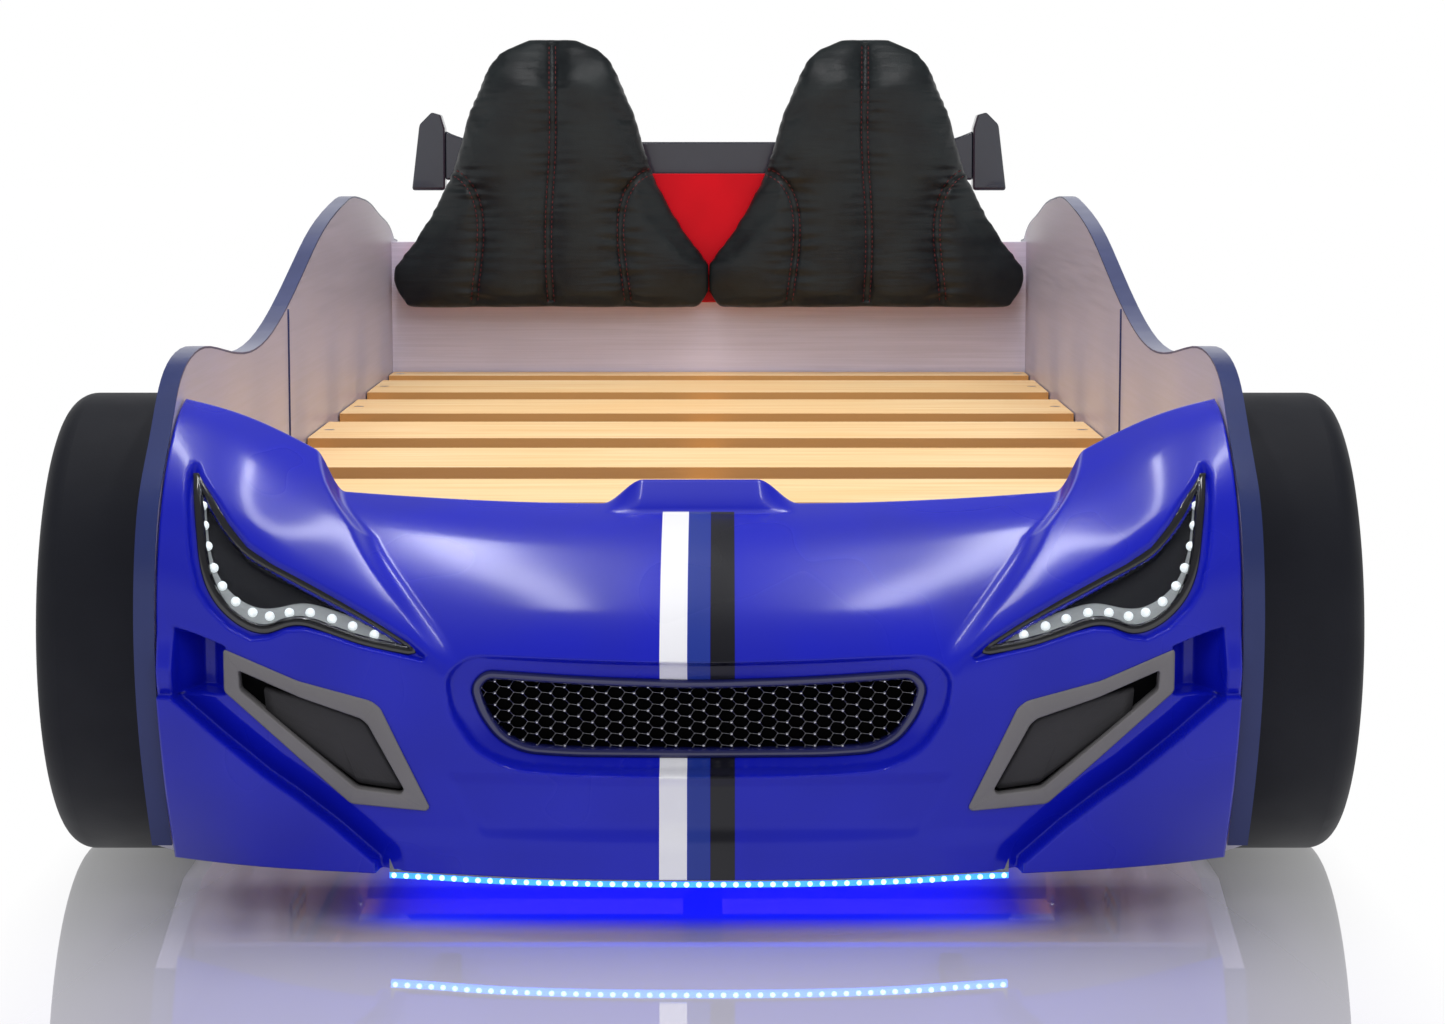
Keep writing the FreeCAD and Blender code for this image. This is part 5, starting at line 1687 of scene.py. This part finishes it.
def seam_edging():
    """The banded end of each rear side board, which stands a little proud of the front board."""
    seam_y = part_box("side_panel_rear_right")[0][1]
    inner_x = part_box("side_panel_rear_right")[0][0]
    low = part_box("slat_4")[0][2]
    points = get_points(nodes["side_panel_rear_right"].data)
    high = points[np.abs(points[:, 1] - seam_y) < 0.001][:, 2].max() - 0.002
    section = [(0.0004, -0.0010), (-0.0012, -0.0010), (-0.0016, -0.0005), (-0.0016, 0.0008),
               (-0.0008, 0.0020), (0.0004, 0.0030)]
    rows = [[(inner_x + dx, seam_y + dy, z) for dx, dy in section] for z in np.linspace(low, high, 12)]
    strip = np.array(rows)
    pair("seam_edging", strip, sheet_faces(*strip.shape[:2]), edge_blue,
         mods=lambda o: thicken(o, 0.0003))


seam_edging()
finish(end_laminate, ["headboard", "footboard"], 0.0012)
finish(slat_pine, ["slat_" + str(k) for k in range(1, 8)])
finish(frame_pine, ["slat_rails", "centre_beam", "bumper_ribs"], 0.0015)
finish(leg_pine, ["centre_legs"], 0.0015)
finish(zinc_plate, ["panel_joint_plates", "corner_angles", "frame_screws", "slat_screws", "wheel_bolts",
                    "headboard_screws", "rocker_pin"])
finish(nylon_black, ["floor_glides"], 0.0008)
finish(grille_black, ["grille_frame"], 0.0016)
finish(aluminium, ["underglow_channel"])
finish(glow_blue, ["underglow_strip"])
finish(tyre_black, both("tyre_front") + both("tyre_rear"))
finish(rim_grey, both("wheel_rim_front") + both("wheel_rim_rear"), 0.0015)
finish(cap_grey, ["hub_caps"], 0.001)
finish(board_red, ["seat_back_board"], 0.001)
finish(wing_gloss, ["wing_blade", "wing_end_plates"], 0.0035)
finish(bracket_coat, ["wing_brackets"], 0.0008)
finish(box_black, ["control_box", "control_box_cover", "junction_box", "power_inlet"], 0.001)
finish(cable_black, ["light_cable"])
finish(switch_red, ["rocker_switch"], 0.0006)
bare = [name for name in nodes if len(nodes[name].data.materials) != 1]
print("nodes with their finish:", len(nodes) - len(bare), bare)

# %% [markdown]
# ## Floor, light and camera
# The bed stands on a pale polished floor under soft studio light. The floor and the world turn
# white for the camera far from the bed, so the picture runs out into white without a horizon, while
# the floor near the bed keeps its shadow and its mirror image. Stronger lamps could whiten it too,
# but they would bleach the bed. Under the lip the floor is painted deep blue, a painted glow of the
# light strip, and its mirror is weaker there.

# %% Floor
FLOOR_REACH = 30.0
FLOOR_TINT = (0.66, 0.64, 0.76)
PAINTED_GLOW_TINT = (0.04, 0.08, 0.74)
MIRROR_SHARE = 2.0
MIRROR_START = 0.10
NEAR_HALF = (0.40, 1.4, 1.0)
NEAR_FADE = 0.22
GLOW_MIDDLE = (0.0, foot_y + 0.10, 0.0)
GLOW_HALF = (0.28, 0.25, 1.0)
GLOW_FADE = 0.06


def distance_outside(tree, place, middle, half):
    """How far a place lies outside a box, given by its middle and its half size."""
    for operation, value in (("SUBTRACT", middle), ("ABSOLUTE", None), ("SUBTRACT", half),
                             ("MAXIMUM", (0.0, 0.0, 0.0)), ("LENGTH", None)):
        step = add_node(tree, "ShaderNodeVectorMath", {1: value} if value else None, operation=operation)
        tree.links.new(place, step.inputs[0])
        place = step.outputs[0]
    return step.outputs["Value"]


def mixed_shader(tree, share, first, second):
    mix = add_node(tree, "ShaderNodeMixShader")
    tree.links.new(share, mix.inputs[0])
    tree.links.new(first, mix.inputs[1])
    tree.links.new(second, mix.inputs[2])
    return mix.outputs[0]


def make_floor():
    """Pale matt body under a mirror that grows towards grazing angles, white far from the bed, with a painted
    blue glow under the lip.
    """
    material, tree, shader = new_material("polished floor", FLOOR_TINT, 0.6, Specular_IOR_Level=0.0)
    place = add_node(tree, "ShaderNodeTexCoord").outputs["Object"]
    path = add_node(tree, "ShaderNodeLightPath")
    cloud = place_group(tree, grain_group, {"Size": 1.5, "Detail": 1.0})
    cooler = tuple(c * 0.985 for c in FLOOR_TINT)
    pale = mix_colors(tree, cloud.outputs["Mask"], FLOOR_TINT, cooler)
    # Painted glow: under the lip the floor's colour turns deep blue and its mirror fades, standing in for the
    # strip's light.
    past_glow = distance_outside(tree, place, GLOW_MIDDLE, GLOW_HALF)
    open_floor = spread(tree, past_glow, 0.0, GLOW_FADE, 0.12, 1.0)
    tree.links.new(mix_colors(tree, open_floor, PAINTED_GLOW_TINT, pale), shader.inputs["Base Color"])

    white = add_node(tree, "ShaderNodeEmission", {"Color": (1, 1, 1, 1), "Strength": 1.0})
    past_bed = distance_outside(tree, place, (0.0, 0.0, 0.0), NEAR_HALF)
    far = spread(tree, past_bed, 0.0, NEAR_FADE)
    seen = combined(tree, "MAXIMUM", path.outputs["Is Camera Ray"], path.outputs["Is Glossy Ray"])
    body = mixed_shader(tree, combined(tree, "MULTIPLY", seen, far), shader.outputs[0], white.outputs[0])

    mirror = add_node(tree, "ShaderNodeBsdfGlossy", {"Color": (1, 1, 1, 1), "Roughness": 0.015})
    grazing = add_node(tree, "ShaderNodeFresnel", {"IOR": 1.6})
    share = spread(tree, grazing.outputs[0], MIRROR_START, 0.8, 0.0, MIRROR_SHARE)
    polished = mixed_shader(tree, combined(tree, "MULTIPLY", share, open_floor), body, mirror.outputs[0])
    tree.links.new(polished, tree.nodes["Material Output"].inputs["Surface"])

    size = FLOOR_REACH
    points = [(-size, -size, 0), (size, -size, 0), (size, size, 0), (-size, size, 0)]
    floor = new_object("floor", points, [(0, 1, 2, 3)], material, body=None, smooth=False, forward=False)


make_floor()
print("floor reaches", FLOOR_REACH, "m to each side")

# %% World: a level grey that the camera sees as white, and mirrors too close above the horizon
WORLD_LEVEL = 0.52
MIRROR_LEVEL = 0.20
WHITE_RING_TOP = 0.28
GREY_START = 0.5


def make_world():
    world = bpy.data.worlds.new("studio")
    bpy.context.scene.world = world
    world.use_nodes = True
    tree = world.node_tree
    back = tree.nodes["Background"]
    path = add_node(tree, "ShaderNodeLightPath")
    place = add_node(tree, "ShaderNodeTexCoord")
    seen = combined(tree, "MAXIMUM", path.outputs["Is Camera Ray"], path.outputs["Is Transmission Ray"])
    direct = vary(tree, seen, WORLD_LEVEL, 1.0)
    height = xyz_of(tree, place.outputs["Generated"])["Z"]
    mirrored = spread(tree, height, WHITE_RING_TOP, GREY_START, 1.0, MIRROR_LEVEL)
    level = add_node(tree, "ShaderNodeMix")
    tree.links.new(path.outputs["Is Glossy Ray"], level.inputs[0])
    tree.links.new(direct, level.inputs[2])
    tree.links.new(mirrored, level.inputs[3])
    tree.links.new(level.outputs[0], back.inputs["Strength"])
    back.inputs["Color"].default_value = (1.0, 1.0, 1.0, 1.0)


make_world()

# %% Lamps: two broad ones, two narrow ones over the hood, two windows in front and the blue glow


def area_lamp(name, place, target, size, power, color=(1, 1, 1), in_mirrors=False):
    data = bpy.data.lights.new(name, "AREA")
    data.shape = "RECTANGLE"
    data.size, data.size_y = size
    data.energy = power
    data.color = color
    lamp = bpy.data.objects.new(name, data)
    lamp.location = place
    lamp.rotation_euler = (Vector(target) - Vector(place)).to_track_quat("-Z", "Y").to_euler()
    lamp.visible_glossy = in_mirrors
    bpy.context.scene.collection.objects.link(lamp)
    return lamp


area_lamp("ceiling", (0, -0.2, 3.4), (0, 0, 0.3), (4.0, 3.0), 52.0)
area_lamp("front", (0, -3.9, 3.1), (0, 0.2, 0.4), (3.0, 2.0), 30.0)
for x in (-0.37, 0.41):
    area_lamp("strip", (x, -0.25, 2.5), (x, -0.25, 0), (0.09, 1.7), 11.0, in_mirrors=True)
glow_y = foot_y - 0.05
glow = area_lamp("floor_glow", (0, glow_y, 0.035), (0, glow_y, 0), (0.54, 0.25), 0.6, (0.0, 0.02, 1.0))
glow.visible_camera = False
for x in (-1.7, 1.7):
    area_lamp("front_window", (x, -3.2, 1.9), (x * 0.1, -0.9, 0.3), (0.4, 1.2), 6.0)
print("lamps:", len(bpy.data.lights))

# %% Camera at the photograph's viewing angle
CAMERA_SIDE = 0.0202
CAMERA_TO_HEADBOARD = 4.899
CAMERA_HEIGHT = 0.698
CAMERA_TILT = 83.22
CAMERA_LENS = 82.2


def make_camera():
    data = bpy.data.cameras.new("camera")
    data.sensor_width = 36.0
    data.lens = CAMERA_LENS
    data.clip_end = 100.0
    camera = bpy.data.objects.new("camera", data)
    camera.location = (CAMERA_SIDE, head_y - CAMERA_TO_HEADBOARD, CAMERA_HEIGHT)
    camera.rotation_euler = (math.radians(CAMERA_TILT), 0, 0)
    bpy.context.scene.collection.objects.link(camera)
    bpy.context.scene.camera = camera


make_camera()
print("camera", round(CAMERA_TO_HEADBOARD, 2), "m in front of the headboard")
bpy.context.scene.view_settings.view_transform = "Standard"
